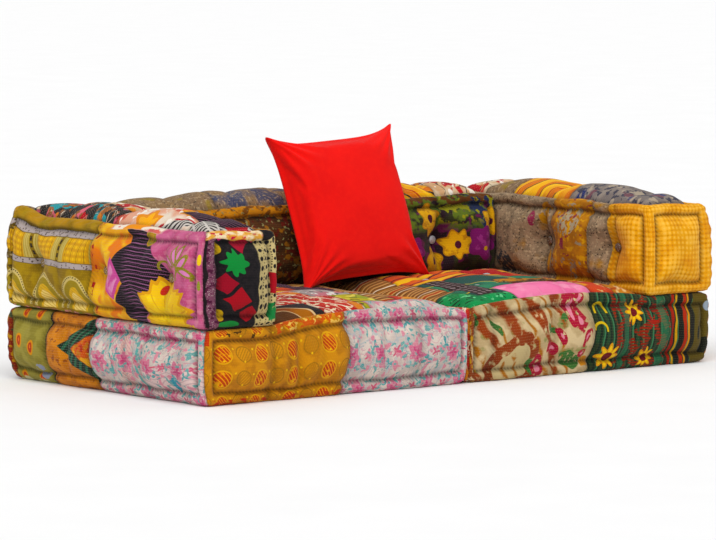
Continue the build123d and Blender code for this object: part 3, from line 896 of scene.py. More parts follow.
    def shade(self, colour, rough, height, distance, **fixed):
        """The shader: colour, roughness and relief may vary, what is fixed stays on its own sockets."""
        bump = self.node("ShaderNodeBump", Strength=0.55, Distance=distance, Height=height)
        shader = self.node(
            "ShaderNodeBsdfPrincipled", Base_Color=colour, Roughness=rough, Normal=bump.outputs[0], **fixed)
        self.node("ShaderNodeOutputMaterial", Surface=shader.outputs[0])
        return self.material

    def grey(self, term):
        """The grey of this strength."""
        return self.node("ShaderNodeCombineColor", Red=term, Green=term, Blue=term).outputs[0]


def olive_blocks():
    """Left arm, outside, rear: olive block print with two braids, a row of woven blocks and a row of pointed arches."""
    c = Cloth("olive_block_print", 0.003)
    c.ground("9c7d14", "856812", 26)
    t = (c.u - 0.219).wrap(0.160)
    blocks = c.between(c.v, 0.155, 0.222)
    cream = blocks * c.between(t.size(), 0.046, 0.073)
    c.lay("c4b06a", cream)
    c.lay("9a7d2a", cream * c.lines(c.u, 0.008, 0.35) * 0.6)
    c.lay("c9921a", blocks * t.size().under(0.050))
    woven = c.lines(c.v, 0.0165, 0.5, 0.004) * c.lines(c.u, 0.0130, 0.7, 0.003)
    c.lay("e6b52c", blocks * t.size().under(0.046) * woven)
    c.lay("8f6212", blocks * t.size().under(0.048) * c.lines(c.u, 0.026, 0.14) * 0.7)
    c.lay("2c241a", blocks * t.size().over(0.0765) * c.lines(c.v, 0.019, 0.62))
    du, dv = (c.u - 0.2135).wrap(0.156), c.v - 0.018
    dome = c.length(du * 1.38, dv.most(0.0))
    row = c.between(c.v, 0.014, 0.122)
    c.lay("cdb878", row * dome.under(0.0985))
    c.lay("30241a", row * c.band(dome, 0.0935, 0.0022) * c.lines(dv - du.size() * 0.7, 0.0095, 0.55))
    c.lay("98811e", row * dome.under(0.0845))
    inner = c.length(du * 1.5, (dv - 0.004).most(0.0))
    c.lay("d9ae4a", row * inner.under(0.060))
    c.lay("ecd183", row * inner.under(0.044))
    c.lay("b98f34", row * inner.under(0.060) * c.lines(c.v + du * 0.5, 0.011, 0.3) * 0.7)
    for level in (0.2320, 0.1450):
        c.lay("a89c9a", c.band(c.v, level, 0.0080))
        c.lay("4a3c38", c.band(c.v, level, 0.0070) * c.cells(130).under(0.30, 0.06))
        c.lay("4f4220", c.band((c.v - level).size(), 0.0085, 0.0010) * 0.7)
    c.lay("b5862c", c.v.over(0.250, 0.02) * c.blots(14, 0.75, 0.2) * 0.8)
    c.lay("c98d8a", c.v.under(0.006) * c.blots(40, 0.4))
    c.lay("6e7f2e", c.v.under(0.006) * c.blots(32, 0.2, detail=0))
    c.lay("57451c", c.u.under(0.030) * c.blots(38, 0.4))
    c.lay("b5a27a", c.u.under(0.030) * c.blots(60, 0.2))
    return c.finish("c9b57a")


def petal_print():
    """Left arm, outside, front: saffron edge with a magenta petal, black ground with fine curved lines,
    pink ground with a leaf spray and one large yellow bloom."""
    c = Cloth("petal_print", 0.003)
    c.ground("c66f90", "b85b7c", 22)
    c.lay("d996a4", c.blots(44, 0.25, 0.15) * 0.6)
    swell = ((c.v - 0.045).most(0.0) * 15.7).sine() * 0.09
    dark = c.u.under(swell + 0.695, 0.004)
    c.lay("140c12", dark)
    du, dv = c.u - 0.69, c.v + 0.10
    curve = c.length(du * 0.75, dv)
    c.lay("8f5c80", dark * c.lines(curve, 0.0110, 0.20) * c.u.over(0.630, 0.030))
    zig = ((c.v - 0.0535).math("PINGPONG", 0.0575)) * 1.16 + 0.561
    saffron = c.u.under(zig, 0.003)
    c.lay("dc9a1e", saffron)
    c.lay("efc04a", saffron * c.blots(22, 0.45, 0.2))
    c.lay("e07a1e", saffron * c.blots(15, 0.22, 0.1, 1.0, 1.0))
    c.lay("a8261c", saffron * c.band(c.u, 0.447, 0.006) * c.blots(45, 0.4))
    c.lay("c75c96", c.diamond(c.u - 0.560, c.v - 0.120, 0.062, 0.062))
    c.lay("dd93b8", c.diamond(c.u - 0.558, c.v - 0.120, 0.046, 0.046) * c.blots(30, 0.60, 0.15))
    for u, v, size, turn in (
        (0.848, 0.205, 0.0120, 1.9), (0.880, 0.184, 0.0115, 0.9), (0.890, 0.160, 0.0105, -0.5),
        (0.820, 0.190, 0.0105, 2.5), (0.868, 0.210, 0.0090, 1.4),
    ):
        c.lay("8a7f30", c.far(u, v, 2.7, turn).under(size))
        c.lay("d98ab8", c.far(u, v, 3.2, turn).under(size * 0.55))
    for u, v, size in ((0.780, 0.168, 0.019), (0.884, 0.145, 0.026)):
        c.lay("8a7f30", c.band(c.far(u, v), size, 0.0036) * (c.v - v).over(-0.008))
    du, dv = (c.u - 0.798) * 0.98, (c.v - 0.052) * 1.12
    for grow, code in ((1.0, "d99a10"), (0.86, "ebbd24")):
        c.lay(code, c.petals(du, dv, 0.112 * grow, 9, 0.13, 0.5) * c.petals(du, dv, 0.112 * grow, 23, 0.07, 0.0))
    c.lay("f0cf48", c.flower(0.787, 0.052, 0.070, 7, 0.3, 1.5) * c.blots(34, 0.5, 0.15))
    rays = (c.v - 0.012).math("ARCTAN2", c.u - 0.797)
    c.lay("d08e14", c.flower(0.797, 0.058, 0.095, 9, 0.22, 0.5) * c.lines(rays, 0.42, 0.10, 0.02) * 0.7)
    c.lay("c0392b", c.far(0.784, 0.104).under(0.013))
    c.lay("e8b91e", c.box(0.705, 0.905, -0.020, 0.014) * c.blots(22, 0.8))
    c.lay("e9c31f", c.far(0.938, 0.196, 0.6).under(0.015))
    c.lay("8a8f38", c.far(0.935, 0.120, 0.35).under(0.020) * c.blots(40, 0.6))
    c.lay("b78b2a", c.far(0.700, 0.250).under(0.024))
    c.lay("8d8330", c.band(c.far(0.700, 0.250), 0.018, 0.003))
    over = c.v.over(0.262, 0.004) * c.between(c.u, 0.500, 0.740, 0.02)
    c.lay("e9ddcb", over)
    c.lay("e58f1c", over * c.flower(0.610, 0.290, 0.056, 7, 0.14))
    c.lay("d3716a", over * c.blots(24, 0.22, 0.04))
    return c.finish("d9a0c4")


def star_print():
    """Left arm, front end: black ground with a green star and red diamonds, a speckled seam roll,
    and a lattice with black eyes."""
    c = Cloth("star_print", 0.009)
    c.ground("100d10", "1b1618", 60)
    c.lay("2a8440", c.flower(0.080, 0.190, 0.040, 8, 0.14, 0.2))
    for u, v, a, b, code in (
        (0.112, 0.243, 0.030, 0.026, "a01f32"), (0.050, 0.129, 0.030, 0.030, "901a28"),
        (0.086, 0.083, 0.040, 0.036, "9e1d26"), (0.128, 0.042, 0.032, 0.028, "9e1d26"),
        (0.040, 0.262, 0.026, 0.020, "c03a78"), (0.150, 0.262, 0.022, 0.018, "c03a60"),
    ):
        c.lay(code, c.diamond(c.u - u, c.v - v, a, b))
    c.lay("2a7a3c", c.far(0.066, 0.010, 2.4).under(0.016))
    c.lay("c09a28", c.far(0.028, 0.226).under(0.014) + c.far(0.034, 0.040).under(0.015))
    lattice = c.u.over(0.156, 0.004) * c.v.under(0.250)
    c.lay("c7b583", lattice)
    du, dv = c.lattice(0.021, 0.026, 0.166, 0.01, 0.0)
    c.lay("171418", lattice * c.length(du, dv).under(0.0062))
    c.lay("2b241e", lattice * c.band(du.size(), 0.0105, 0.0016) * c.lines(c.v, 0.009, 0.5))
    c.lay("a8242c", c.box(0.212, 0.262, 0.094, 0.148))
    c.lay("2f7d45", c.box(0.206, 0.262, 0.020, 0.066) * c.blots(40, 0.75))
    roll = c.u.under(0.031, 0.002)
    c.lay("74465a", roll)
    c.lay("b39a9a", roll * c.cells(240).under(0.26, 0.1))
    c.lay("4a1c34", roll * c.blots(70, 0.35))
    c.lay("1c1216", c.band(c.u, 0.004, 0.0045))
    top = c.v.over(0.249, 0.003) * c.u.under(0.190, 0.01)
    c.lay("dfa95e", top)
    c.lay("efdcb8", top * c.blots(34, 0.45, 0.1))
    c.lay("c22e4e", top * c.blots(42, 0.22, 0.06))
    return c.finish("3a3436", stitch=0.2)


def olive_ovals():
    """Left seat, left side, rear: olive cloth with red ovals ringed in orange."""
    c = Cloth("olive_ovals")
    c.ground("968c48", "847a3a", 24)
    for u, v in ((0.091, 0.212), (0.158, 0.210), (0.090, 0.124), (0.150, 0.112), (0.060, 0.010), (0.150, 0.012)):
        c.lay("d08a2e", c.far(u, v, 0.66).under(0.0225))
        c.lay("b03a22", c.far(u, v, 0.60).under(0.0155))
        c.lay("d9763a", c.far(u, v + 0.002, 0.5).under(0.006))
    c.lay("8d93a6", c.far(0.170, 0.040).under(0.024) * c.blots(60, 0.6))
    edge = c.u.under(0.030, 0.003)
    c.lay("7c2a20", edge)
    c.lay("b8862c", edge * c.blots(45, 0.3))
    c.lay("39402a", edge * c.blots(30, 0.3))
    c.lay("c9c39a", c.v.under(0.012) * c.blots(24, 0.45))
    return c.finish("b9b36a")


def saffron_zigzag():
    """Left seat, left side, middle: saffron with a diamond band of dark green and black slanting stripes."""
    c = Cloth("saffron_zigzag", 0.003)
    c.ground("cf7f12", "b96c10", 26)
    c.blot(("8e4a16", 55, 0.16, 0.05))
    reach = (c.u - 0.430).size() + (c.v - 0.120).size() * 1.55
    band = c.between(reach, 0.080, 0.150, 0.003)
    c.lay("10281a", band)
    c.lay("2a5c42", band * c.lines(c.slant(-35), 0.020, 0.42))
    c.lay("c9551c", reach.under(0.078) * c.blots(50, 0.6))
    c.lay("e0a02a", reach.under(0.080) * c.v.under(0.115) * c.blots(24, 0.7))
    c.lay("7b1f16", c.band(reach, 0.078, 0.0022))
    c.lay("a83220", reach.under(0.055) * c.v.over(0.115) * c.blots(70, 0.5))
    c.lay("1b1b17", c.band(c.u, 0.206, 0.004))
    return c.finish()


def rose_print(name="rose_print", vines=False):
    """White cotton with pink roses, teal leaves and fine grey stems, and on one panel upright vine bands."""
    c = Cloth(name, 0.010)
    c.ground("d6c8bd", "c2b5ac", 20)
    c.lay("a9aeb0", c.cells(26, "DISTANCE_TO_EDGE").under(0.05, 0.04) * c.blots(30, 0.6) * 0.8)
    c.lay("c8909c", c.lines(c.noise(11, 1.0), 0.075, 0.10, 0.008) * c.blots(26, 0.5))
    if vines:
        bow = (c.u - 0.60) + (c.v - 0.1) * (c.v - 0.1) * 2.2
        for at, half, code in ((-0.060, 0.006, "5a9f9b"), (0.012, 0.017, "ddb5ac"), (0.078, 0.006, "66a5a0")):
            c.lay(code, c.band(bow, at, half) * c.blots(50, 0.8))
        c.lay("b98f92", c.between(bow, -0.040, 0.060) * c.lines(c.v + bow, 0.013, 0.3) * 0.6)
        field = c.u.over(0.70, 0.004) * c.v.under(0.108)
        c.lay("d9c0bb", field)
        c.lay("a98c92", field * c.lines(c.v + (c.u * 60.0).sine() * 0.004, 0.014, 0.25) * 0.6)
        c.lay("3c8d9c", c.diamond(c.u - 0.832, c.v - 0.055, 0.030, 0.032))
        c.lay("cf5f74", c.band(c.v, 0.108, 0.0022) * c.u.over(0.70))
    ragged = c.blots(75, 0.90, 0.14)
    du, dv = c.lattice(0.125, 0.094, 0.047, 0.006, 0.5)
    for away_u, away_v, size, code in (
        (-0.034, 0.016, 0.017, "55989a"), (0.030, -0.022, 0.016, "4b9296"), (0.024, 0.028, 0.010, "7db0ac"),
    ):
        c.lay(code, c.petals(du + away_u, dv + away_v, size, 3, 0.45, 1.0) * ragged)
    c.lay("cf7a92", c.petals(du, dv, 0.031, 7, 0.16, 0.4) * ragged)
    c.lay("c4567c", c.petals(du, dv, 0.018, 5, 0.30, 1.4) * ragged)
    du, dv = c.lattice(0.125, 0.094, 0.108, 0.010, 0.5)
    c.lay("c8687e", c.petals(du, dv, 0.015, 5, 0.3, 0.9) * ragged)
    c.lay("6fa8a2", c.petals(du - 0.020, dv - 0.012, 0.011, 3, 0.5, 0.1))
    c.blot(("d08e9a", 46, 0.20, 0.04, 1.0), ("6d9f9b", 52, 0.10, 0.03, 1.0, 0.6))
    c.lay("8e8488", c.lines(c.noise(24, 1.0), 0.060, 0.10, 0.006) * c.blots(17, 0.5))
    return c.finish("efe6dc", full=0.84)


def mustard_dots():
    """Left seat, front: mustard with hatched red ovals and ochre rings, and a band of orange bloom on its top edge."""
    c = Cloth("mustard_dots")
    c.ground("cb871a", "b47314", 24)
    du, dv = c.lattice(0.119, 0.071, 0.053, 0.003, 0.0)
    ring = c.length(du, dv, 0.86)
    c.lay("d8a138", ring.under(0.027))
    c.lay("b5401c", ring.under(0.0230) * c.blots(60, 0.85, 0.1))
    c.lay("e0942c", ring.under(0.0225) * c.lines(du * 0.8 + dv * 0.6, 0.0080, 0.32))
    du, dv = c.lattice(0.119, 0.071, 0.1125, 0.006, 0.0)
    ring = c.length(du, dv)
    c.lay("9a6a1c", c.band(ring, 0.0225, 0.0016))
    c.lay("a97520", ring.under(0.0200) * c.lines(du - dv * 0.7, 0.0085, 0.35))
    du, dv = c.lattice(0.0595, 0.0355, 0.023, 0.02, 0.5)
    c.lay("e6b94f", c.length(du, dv).under(0.0030))
    bloom = c.v.over(0.190) * c.u.over(0.245)
    c.lay("c9541e", bloom * c.blots(38, 0.55))
    c.lay("e8c070", bloom * c.blots(60, 0.22))
    birds = c.v.over(0.186) * c.u.under(0.24)
    c.lay("4a3014", birds * c.blots(36, 0.14, 0.02))
    c.lay("b5341c", c.v.under(0.016) * c.blots(40, 0.35))
    c.lay("b8341a", c.u.under(0.016) * c.v.over(0.17))
    return c.finish("e5b552")


def rust_ikat():
    """Right seat, front: cream ikat with slanting rust strokes and a loop, and crimson petals towards the right."""
    c = Cloth("rust_ikat", 0.017)
    c.ground("cfb992", "b7a07a", 26)
    c.blot(("8f8a58", 24, 0.16, 0.06))
    worn = c.blots(46, 0.86, 0.14)
    stroke = c.slant(31)
    c.lay("8c3814", c.lines(stroke - 0.038, 0.088, 0.34, 0.008) * c.u.under(0.36, 0.02) * worn)
    c.lay("a3682c", c.lines(stroke + 0.006, 0.088, 0.12, 0.006) * c.u.under(0.42, 0.02) * worn)
    ring = c.far(0.160, 0.040, 1.25, 0.5)
    c.lay("c4b084", ring.under(0.066))
    c.lay("873614", c.band(ring, 0.066, 0.015) * worn)
    c.lay("a3682c", c.lines(stroke - 0.038, 0.044, 0.25, 0.006) * ring.under(0.040) * worn)
    for u, v, size, turn in (
        (0.102, 0.156, 0.011, 1.9), (0.030, 0.185, 0.010, 1.6), (0.315, 0.133, 0.011, 2.6),
        (0.391, 0.043, 0.020, 2.7), (0.235, 0.035, 0.012, 2.2), (0.360, 0.160, 0.010, 0.6),
    ):
        c.lay("3f6b34", c.far(u, v, 2.1, turn).under(size) * c.blots(60, 0.75))
    for u, v, size, turn in (
        (0.392, 0.178, 0.027, 1.9), (0.420, 0.150, 0.018, 1.5), (0.347, 0.110, 0.018, 2.2),
        (0.309, 0.070, 0.019, 2.8), (0.268, 0.026, 0.019, 2.0), (0.440, 0.105, 0.013, 1.1),
        (0.425, 0.205, 0.018, 1.0), (0.430, 0.062, 0.012, 0.8),
    ):
        c.lay("a31c36", c.far(u, v, 1.8, turn).under(size) * c.blots(60, 0.8))
        c.lay("d9899a", c.far(u, v, 2.6, turn).under(size * 0.30))
    c.lay("c9862a", c.far(0.450, 0.035).under(0.018))
    c.lay("7e3a1c", c.u.under(0.028) * c.blots(36, 0.6))
    c.lay("b98a2e", c.u.under(0.040) * c.blots(22, 0.3))
    return c.finish("d9cba6")


def daisy_stripe():
    """Right seat, front, right: dark green with thin upright stripes, yellow daisies, and a run of bright stripes."""
    c = Cloth("daisy_stripe")
    c.ground("24422a", "2a3520", 24)
    c.lay("14241a", c.lines(c.u, 0.017, 0.38))
    c.lay("3f7350", c.lines(c.u + 0.006, 0.034, 0.14))
    c.lay("8a2c20", c.blots(26, 0.46, 0.04) * c.between(c.u, 0.55, 0.78) * c.lines(c.v, 0.009, 0.75))
    c.lay("2e6b4a", c.band(c.u, 0.600, 0.012) * 0.7 + c.band(c.u, 0.756, 0.014) * 0.7)
    for u, v, size in ((0.637, 0.163, 0.036), (0.532, 0.046, 0.042), (0.694, 0.030, 0.034)):
        c.lay("d8951c", c.flower(u, v, size, 8, 0.22))
        c.lay("efc23a", c.flower(u, v, size * 0.8, 8, 0.30))
        c.lay("6a1420", c.far(u, v).under(size * 0.34))
    for u, v in ((0.508, 0.166), (0.494, 0.118)):
        c.lay("d5b437", c.band(c.far(u, v), 0.020, 0.0032) * c.v.over(v - 0.002))
    c.lay("a3201f", c.flower(0.708, 0.140, 0.024, 6, 0.4) * c.lines(c.v, 0.007, 0.6))
    bow = c.u - (c.v - 0.1) * (c.v - 0.1) * 1.6
    for at, half, code in (
        (0.790, 0.005, "a3261a"), (0.803, 0.003, "c99a2a"), (0.818, 0.009, "121210"),
        (0.834, 0.006, "a82c18"), (0.846, 0.003, "d08a20"), (0.858, 0.006, "1a1614"),
    ):
        c.lay(code, c.band(bow, at, half))
    end = bow.over(0.866, 0.002)
    c.lay("57481c", end)
    c.lay("15160f", end * c.far(0.888, 0.10, 0.28).under(0.022))
    c.lay("15160f", end * c.far(0.930, 0.055, 1.2).under(0.026))
    c.lay("8f9aa6", end * c.far(0.935, 0.175).under(0.014))
    return c.finish("7f8a5a")


def grey_speckle():
    """Right arm, inside, rear: grey-beige with black speckle and a few blotches of madder and mustard."""
    c = Cloth("grey_speckle")
    c.ground("978169", "7f6c57", 30)
    c.lay("2c2622", c.cells(120).under(0.27, 0.10) * c.blots(30, 0.75, 0.2))
    c.lay("b8a283", c.blots(110, 0.20, 0.08) * 0.7)
    c.lay("a8782c", c.blots(9, 0.14, 0.10, 3.0) * 0.8)
    c.lay("8c3a52", c.far(0.426, 0.209, 0.6).under(0.024) * c.blots(70, 0.75))
    blotches = c.far(0.478, 0.225, 0.7).under(0.036) + c.far(0.495, 0.080, 0.5).under(0.034)
    c.lay("b98224", blotches * c.blots(50, 0.7))
    c.lay("33363a", c.far(0.300, 0.060).under(0.040) * c.blots(60, 0.6))
    return c.finish("b5a78d")


def mustard_bloom():
    """Right arm, inside, middle: mustard with faded grey and madder blooms."""
    c = Cloth("mustard_bloom", 0.008)
    c.ground("b5761c", "a0661c", 24)
    c.lay("a89a80", c.far(0.612, 0.215, 0.9).under(0.045) * c.blots(70, 0.6))
    c.lay("8f8672", c.blots(20, 0.24, 0.05) * c.blots(90, 0.6))
    c.lay("7f2f45", c.far(0.590, 0.138, 0.7).under(0.020))
    c.blot(("7f3a44", 34, 0.10, 0.03), ("cf9a3c", 46, 0.25, 0.08))
    return c.finish("c99a4a")


def gold_check():
    """Right arm, front: orange-yellow cloth with a fine woven check."""
    c = Cloth("gold_check", 0.002)
    c.ground("f3ba62", "eaaa52", 14)
    pitch, blur = 0.0150, 0.004
    for way in (c.u, c.v):
        c.lay("c9822a", c.lines(way, pitch, 0.34, blur) * c.blots(30, 0.6, 0.2) * 0.36)
    crossings = c.lines(c.u, pitch, 0.36, blur) * c.lines(c.v, pitch, 0.36, blur)
    c.lay("b06a1c", crossings * c.blots(9, 0.7, 0.2) * 0.6)
    between = c.lines(c.u + pitch / 2, pitch, 0.4, blur) * c.lines(c.v + pitch / 2, pitch, 0.4, blur)
    c.lay("f6ca74", between * 0.6)
    c.lay("c9702a", c.blots(8, 0.22, 0.2) * 0.5)
    return c.finish("f0c25c", stitch=0.3)


def dusk_bloom():
    """Back, front, right: dark purple and green ground with yellow and purple blooms under a band of leaves."""
    c = Cloth("dusk_bloom", 0.006)
    c.ground("24141c", "2c3018", 18)
    c.blot(("5c2248", 26, 0.30, 0.04))
    c.lay("5a6b28", c.v.over(0.175, 0.02) * c.blots(22, 0.55))
    c.lay("1e2a48", c.v.over(0.150, 0.02) * c.u.over(1.30, 0.03) * c.blots(14, 0.6))
    c.lay("8d8a2e", c.v.over(0.190, 0.02) * c.blots(40, 0.3) * c.u.over(1.18))
    for u, v, size, n in (
        (1.130, 0.205, 0.048, 6), (1.240, 0.125, 0.046, 7), (1.376, 0.188, 0.044, 5), (1.150, 0.075, 0.044, 5),
        (0.960, 0.160, 0.050, 6), (0.800, 0.090, 0.046, 6), (0.640, 0.180, 0.044, 6),
    ):
        c.lay("b9801a", c.flower(u, v, size * 1.08, n, 0.13, u * 9))
        c.lay("dca51c", c.flower(u, v, size * 0.98, n, 0.16, u * 9) * c.blots(44, 0.80))
        c.lay("4a1a2c", c.far(u, v, 0.8).under(size * 0.27))
    for u, v, size in ((1.328, 0.122, 0.060), (1.045, 0.110, 0.050), (0.880, 0.200, 0.044)):
        c.lay("7a2a66", c.flower(u, v, size, 5, 0.12, 0.6))
        c.lay("94407f", c.flower(u, v, size * 0.7, 5, 0.25, 0.6) * c.blots(50, 0.5))
        c.lay("c99a2a", c.far(u, v - 0.02).under(0.008))
    c.lay("5f3a1e", c.v.over(0.246) * c.blots(30, 0.5))
    return c.finish("6f5a5a")


def umber_print():
    """Back, front, left: dark brown with ochre blots."""
    c = Cloth("umber_print", 0.006)
    c.ground("4a2c18", "35200f", 20)
    c.blot(("8a5a20", 24, 0.28, 0.05), ("5c1f1a", 34, 0.22, 0.04))
    c.lay("bd7c24", c.v.over(0.24) * c.blots(16, 0.75))
    c.lay("6f431a", c.v.over(0.24) * c.blots(34, 0.36))
    c.blot(("7f7a52", 80, 0.12, 0.03))
    return c.finish("8a6a3c")


def taupe_speckle(name="taupe_speckle", second="7d6650", patch="8f7a34"):
    """Top of the back, left: taupe cloth, fine dark speckle, a little ochre."""
    c = Cloth(name)
    c.ground("8a7052", second, 12)
    c.lay("3a322e", c.cells(120).under(0.25, 0.1) * 0.85)
    c.lay("b8a283", c.blots(110, 0.22, 0.08) * 0.6)
    c.lay(patch, c.blots(16, 0.16, 0.05) * 0.7)
    return c.finish("b3a48c")


def navy_speckle():
    """Top of the back, beside it: the same over navy."""
    return taupe_speckle("navy_speckle", "4a4c60", "343a58")


def harlequin_red():
    """Top of the back, right: cream, red and white fragments with dark outlines."""
    c = Cloth("harlequin_red", 0.008)
    c.ground("d9c6a8", "c9a27c", 20)
    c.blot(("b3242c", 16, 0.34, 0.03), ("efe6d8", 30, 0.25, 0.03), ("d8862a", 11, 0.20, 0.03, 1.0))
    c.lay("2c2a2c", c.cells(24, "DISTANCE_TO_EDGE").under(0.030, 0.02) * c.blots(12, 0.6))
    c.blot(("7a4a72", 13, 0.14, 0.03, 3.0))
    return c.finish()


def carnival_print():
    """Left arm, top, rear: black with teal, orange and pink fragments."""
    c = Cloth("carnival_print", 0.010)
    c.ground("1b1716", "2a201c", 30)
    c.blot(
        ("2f8f96", 14, 0.28, 0.03), ("c9762a", 20, 0.24, 0.03, 3.0), ("d4707e", 17, 0.20, 0.03, 1.0),
        ("8a5a38", 34, 0.25, 0.03), ("b3242c", 12, 0.12, 0.02, 4.0),
    )
    c.lay("e3cdb4", c.cells(40, "DISTANCE_TO_EDGE").under(0.020, 0.02) * c.blots(22, 0.35))
    return c.finish()


def cream_marigold():
    """Left arm, top, front: cream and salmon with marigold blooms."""
    c = Cloth("cream_marigold", 0.008)
    c.ground("e3d3c0", "dca58c", 13)
    c.blot(("c96a5a", 12, 0.25, 0.03), ("efe8dc", 22, 0.30, 0.03))
    for u, v, size in ((0.030, 0.345, 0.060), (0.180, 0.420, 0.050), (0.120, 0.230, 0.035)):
        c.lay("e08a1a", c.flower(u, v, size, 7, 0.16))
        c.lay("f1ac2c", c.flower(u, v, size * 0.7, 7, 0.24))
    c.blot(("8a8aa0", 9, 0.10, 0.02, 3.0))
    slope = c.v + c.u * 2.4
    c.lay("c9c3bb", c.between(slope, 0.275, 0.350))
    c.lay("1f1b1c", c.between(slope, 0.278, 0.347) * c.lines(c.slant(55), 0.0125, 0.5))
    c.lay("b52a34", c.between(slope, 0.350, 0.372) * c.blots(30, 0.7))
    return c.finish()


def zebra_hatch():
    """Left arm, top, a strip of black and white hatching with red."""
    c = Cloth("zebra_hatch", 0.004)
    c.ground("c9c3bb")
    c.lay("1f1b1c", c.lines(c.slant(55), 0.0125, 0.5))
    c.lay("c9c3bb", c.lines(c.slant(-20), 0.031, 0.2))
    c.lay("b52a34", c.far(0.150, 0.060, 2.0, 0.4).under(0.024))
    return c.finish()


def plum_stripe():
    """Left arm, top, inner edge: purple-black with fine pale stripes."""
    c = Cloth("plum_stripe", 0.006)
    c.ground("190f17", "26141f", 20)
    c.lay("8f6079", c.lines(c.slant(70) + c.u * c.u * 2.0, 0.0140, 0.15))
    return c.finish("3f2f3c", stitch=0.1)


def sunset_swirl():
    """Right arm, top, rear: orange-yellow with black curves."""
    c = Cloth("sunset_swirl", 0.010)
    c.ground("e0921c", "efb02c", 10)
    flow = c.v + c.u * 0.55 + (c.u * 17.0 + c.v * 9.0).sine() * 0.020
    c.stripes(
        flow, ("d2701a", 0.0, 0.082, 0.30, 0.006), ("f3c24c", 0.030, 0.082, 0.16, 0.006),
        ("1f1a18", 0.016, 0.082, 0.07, 0.002), ("b5401c", -0.018, 0.164, 0.045, 0.002),
    )
    return c.finish()


def slate_bloom():
    """Right arm, top: grey and cream with dark blue blooms."""
    c = Cloth("slate_bloom", 0.008)
    c.ground("756c68", "8c8178", 16)
    c.blot(("3c3b48", 40, 0.36, 0.04), ("a89a88", 26, 0.22, 0.04))
    c.lay("2c3564", c.blots(8, 0.26, 0.04, 2.0) * c.blots(60, 0.8))
    c.blot(("6d4a52", 18, 0.12, 0.04))
    return c.finish("b8b0a2")


def lilac_grey():
    """Right arm, top, front: grey-violet, worn."""
    c = Cloth("lilac_grey", 0.006)
    c.ground("7f7482", "94888c", 12)
    c.blot(("4f4a5c", 30, 0.30, 0.05), ("b9aba0", 44, 0.22, 0.05))
    return c.finish("a79ca8")


def crimson_flake():
    """Left seat, top: crimson with cream strokes and lines."""
    c = Cloth("crimson_flake", 0.006)
    c.ground("b02a26", "c23a30", 16)
    c.blot(("e3cdae", 46, 0.28, 0.02, 1.0, 1.0))
    c.lay("e8dcc6", c.lines(c.slant(25) + c.noise(6, 1.0) * 0.06, 0.060, 0.10))
    c.blot(("cf7a2a", 9, 0.15, 0.03))
    return c.finish()


def umber_leaf():
    """Left seat, top, front left: rust, brown and black leaves outlined in cream."""
    c = Cloth("umber_leaf", 0.008)
    c.ground("8f4a24", "a86a34", 14)
    field = c.noise(5, 0.5)
    c.lay("1c1a1e", field.under(0.44, 0.01))
    c.lay("5c3a24", field.over(0.56, 0.01))
    c.lay("d9b98c", c.band(field, 0.445, 0.008) + c.band(field, 0.555, 0.006))
    c.blot(("3a4a4a", 9, 0.12, 0.02))
    return c.finish("a8794a")


def tan_stripe():
    """Left seat, top, along the seam: tan and brown fine stripes with white lines and a rust line."""
    c = Cloth("tan_stripe", 0.006)
    c.ground("94683c", "7d5230", 14)
    flow = c.v + (c.u * 9.0).sine() * 0.012
    c.stripes(
        flow, ("c79a66", 0.0, 0.020, 0.35), ("5a3820", 0.006, 0.020, 0.18),
        ("d8cbb4", 0.0, 0.100, 0.05), ("a8401c", 0.05, 0.160, 0.07),
    )
    return c.finish("b3875a")


def lime_dash():
    """Left seat, top, middle: yellow-green with black dashes."""
    c = Cloth("lime_dash", 0.006)
    c.ground("b5a83a", "8f9a3a", 12)
    c.lay("1f1c16", c.lines(c.slant(60), 0.026, 0.30) * c.lines(c.slant(-30), 0.060, 0.45))
    c.blot(("e0cf6a", 26, 0.22, 0.04), ("c23a24", 9, 0.14, 0.03))
    return c.finish("c9c06a")


def ash_rose():
    """Left seat, top, rear: grey with pink bloom."""
    c = Cloth("ash_rose", 0.008)
    c.ground("a39a96", "8d8584", 14)
    c.blot(("b9727c", 14, 0.28, 0.05), ("d9d2ca", 30, 0.25, 0.04), ("4f4c50", 50, 0.14, 0.03))
    return c.finish()


def ribbon_curves():
    """Right seat, top, rear: orange-red with yellow and black curved ribbons."""
    c = Cloth("ribbon_curves", 0.006)
    c.ground("c9401c", "d8601c", 10)
    flow = c.v + (c.u * 8.0 + 1.0).sine() * 0.025
    c.stripes(flow, ("e8b42a", 0.0, 0.085, 0.26), ("1f1a16", 0.020, 0.085, 0.10), ("7f2a1c", -0.022, 0.085, 0.10))
    return c.finish()


def teal_ribbon():
    """Right seat, top, middle: teal-green with yellow outlines and a slanting black and white braid."""
    c = Cloth("teal_ribbon", 0.006)
    c.ground("2c6f58", "357f5c", 10)
    field = c.noise(4, 0.5)
    c.lay("1c4a44", field.under(0.46, 0.01))
    c.lay("d8b83a", c.band(field, 0.463, 0.006))
    braid = c.u - c.v * 0.14 - 0.1375
    c.lay("2a1216", c.band(braid, 0.0, 0.036) * c.v.under(0.42))
    plaits = c.lines(c.v + braid, 0.026, 0.34) * c.lines(braid, 0.022, 0.45)
    c.lay("a08f90", c.band(braid, 0.0, 0.030) * c.v.under(0.42) * plaits)
    return c.finish("6f9a80")


def emerald_hatch():
    """Right seat, top, front left: emerald with black dash hatching."""
    c = Cloth("emerald_hatch", 0.006)
    c.ground("2c9152", "247a46", 10)
    c.lay("0f2a1c", c.lines(c.slant(48), 0.0150, 0.34) * c.lines(c.slant(-42), 0.045, 0.6) * c.blots(6, 0.72, 0.05))
    c.blot(("6fc28a", 40, 0.12, 0.03))
    return c.finish("5fae7c")


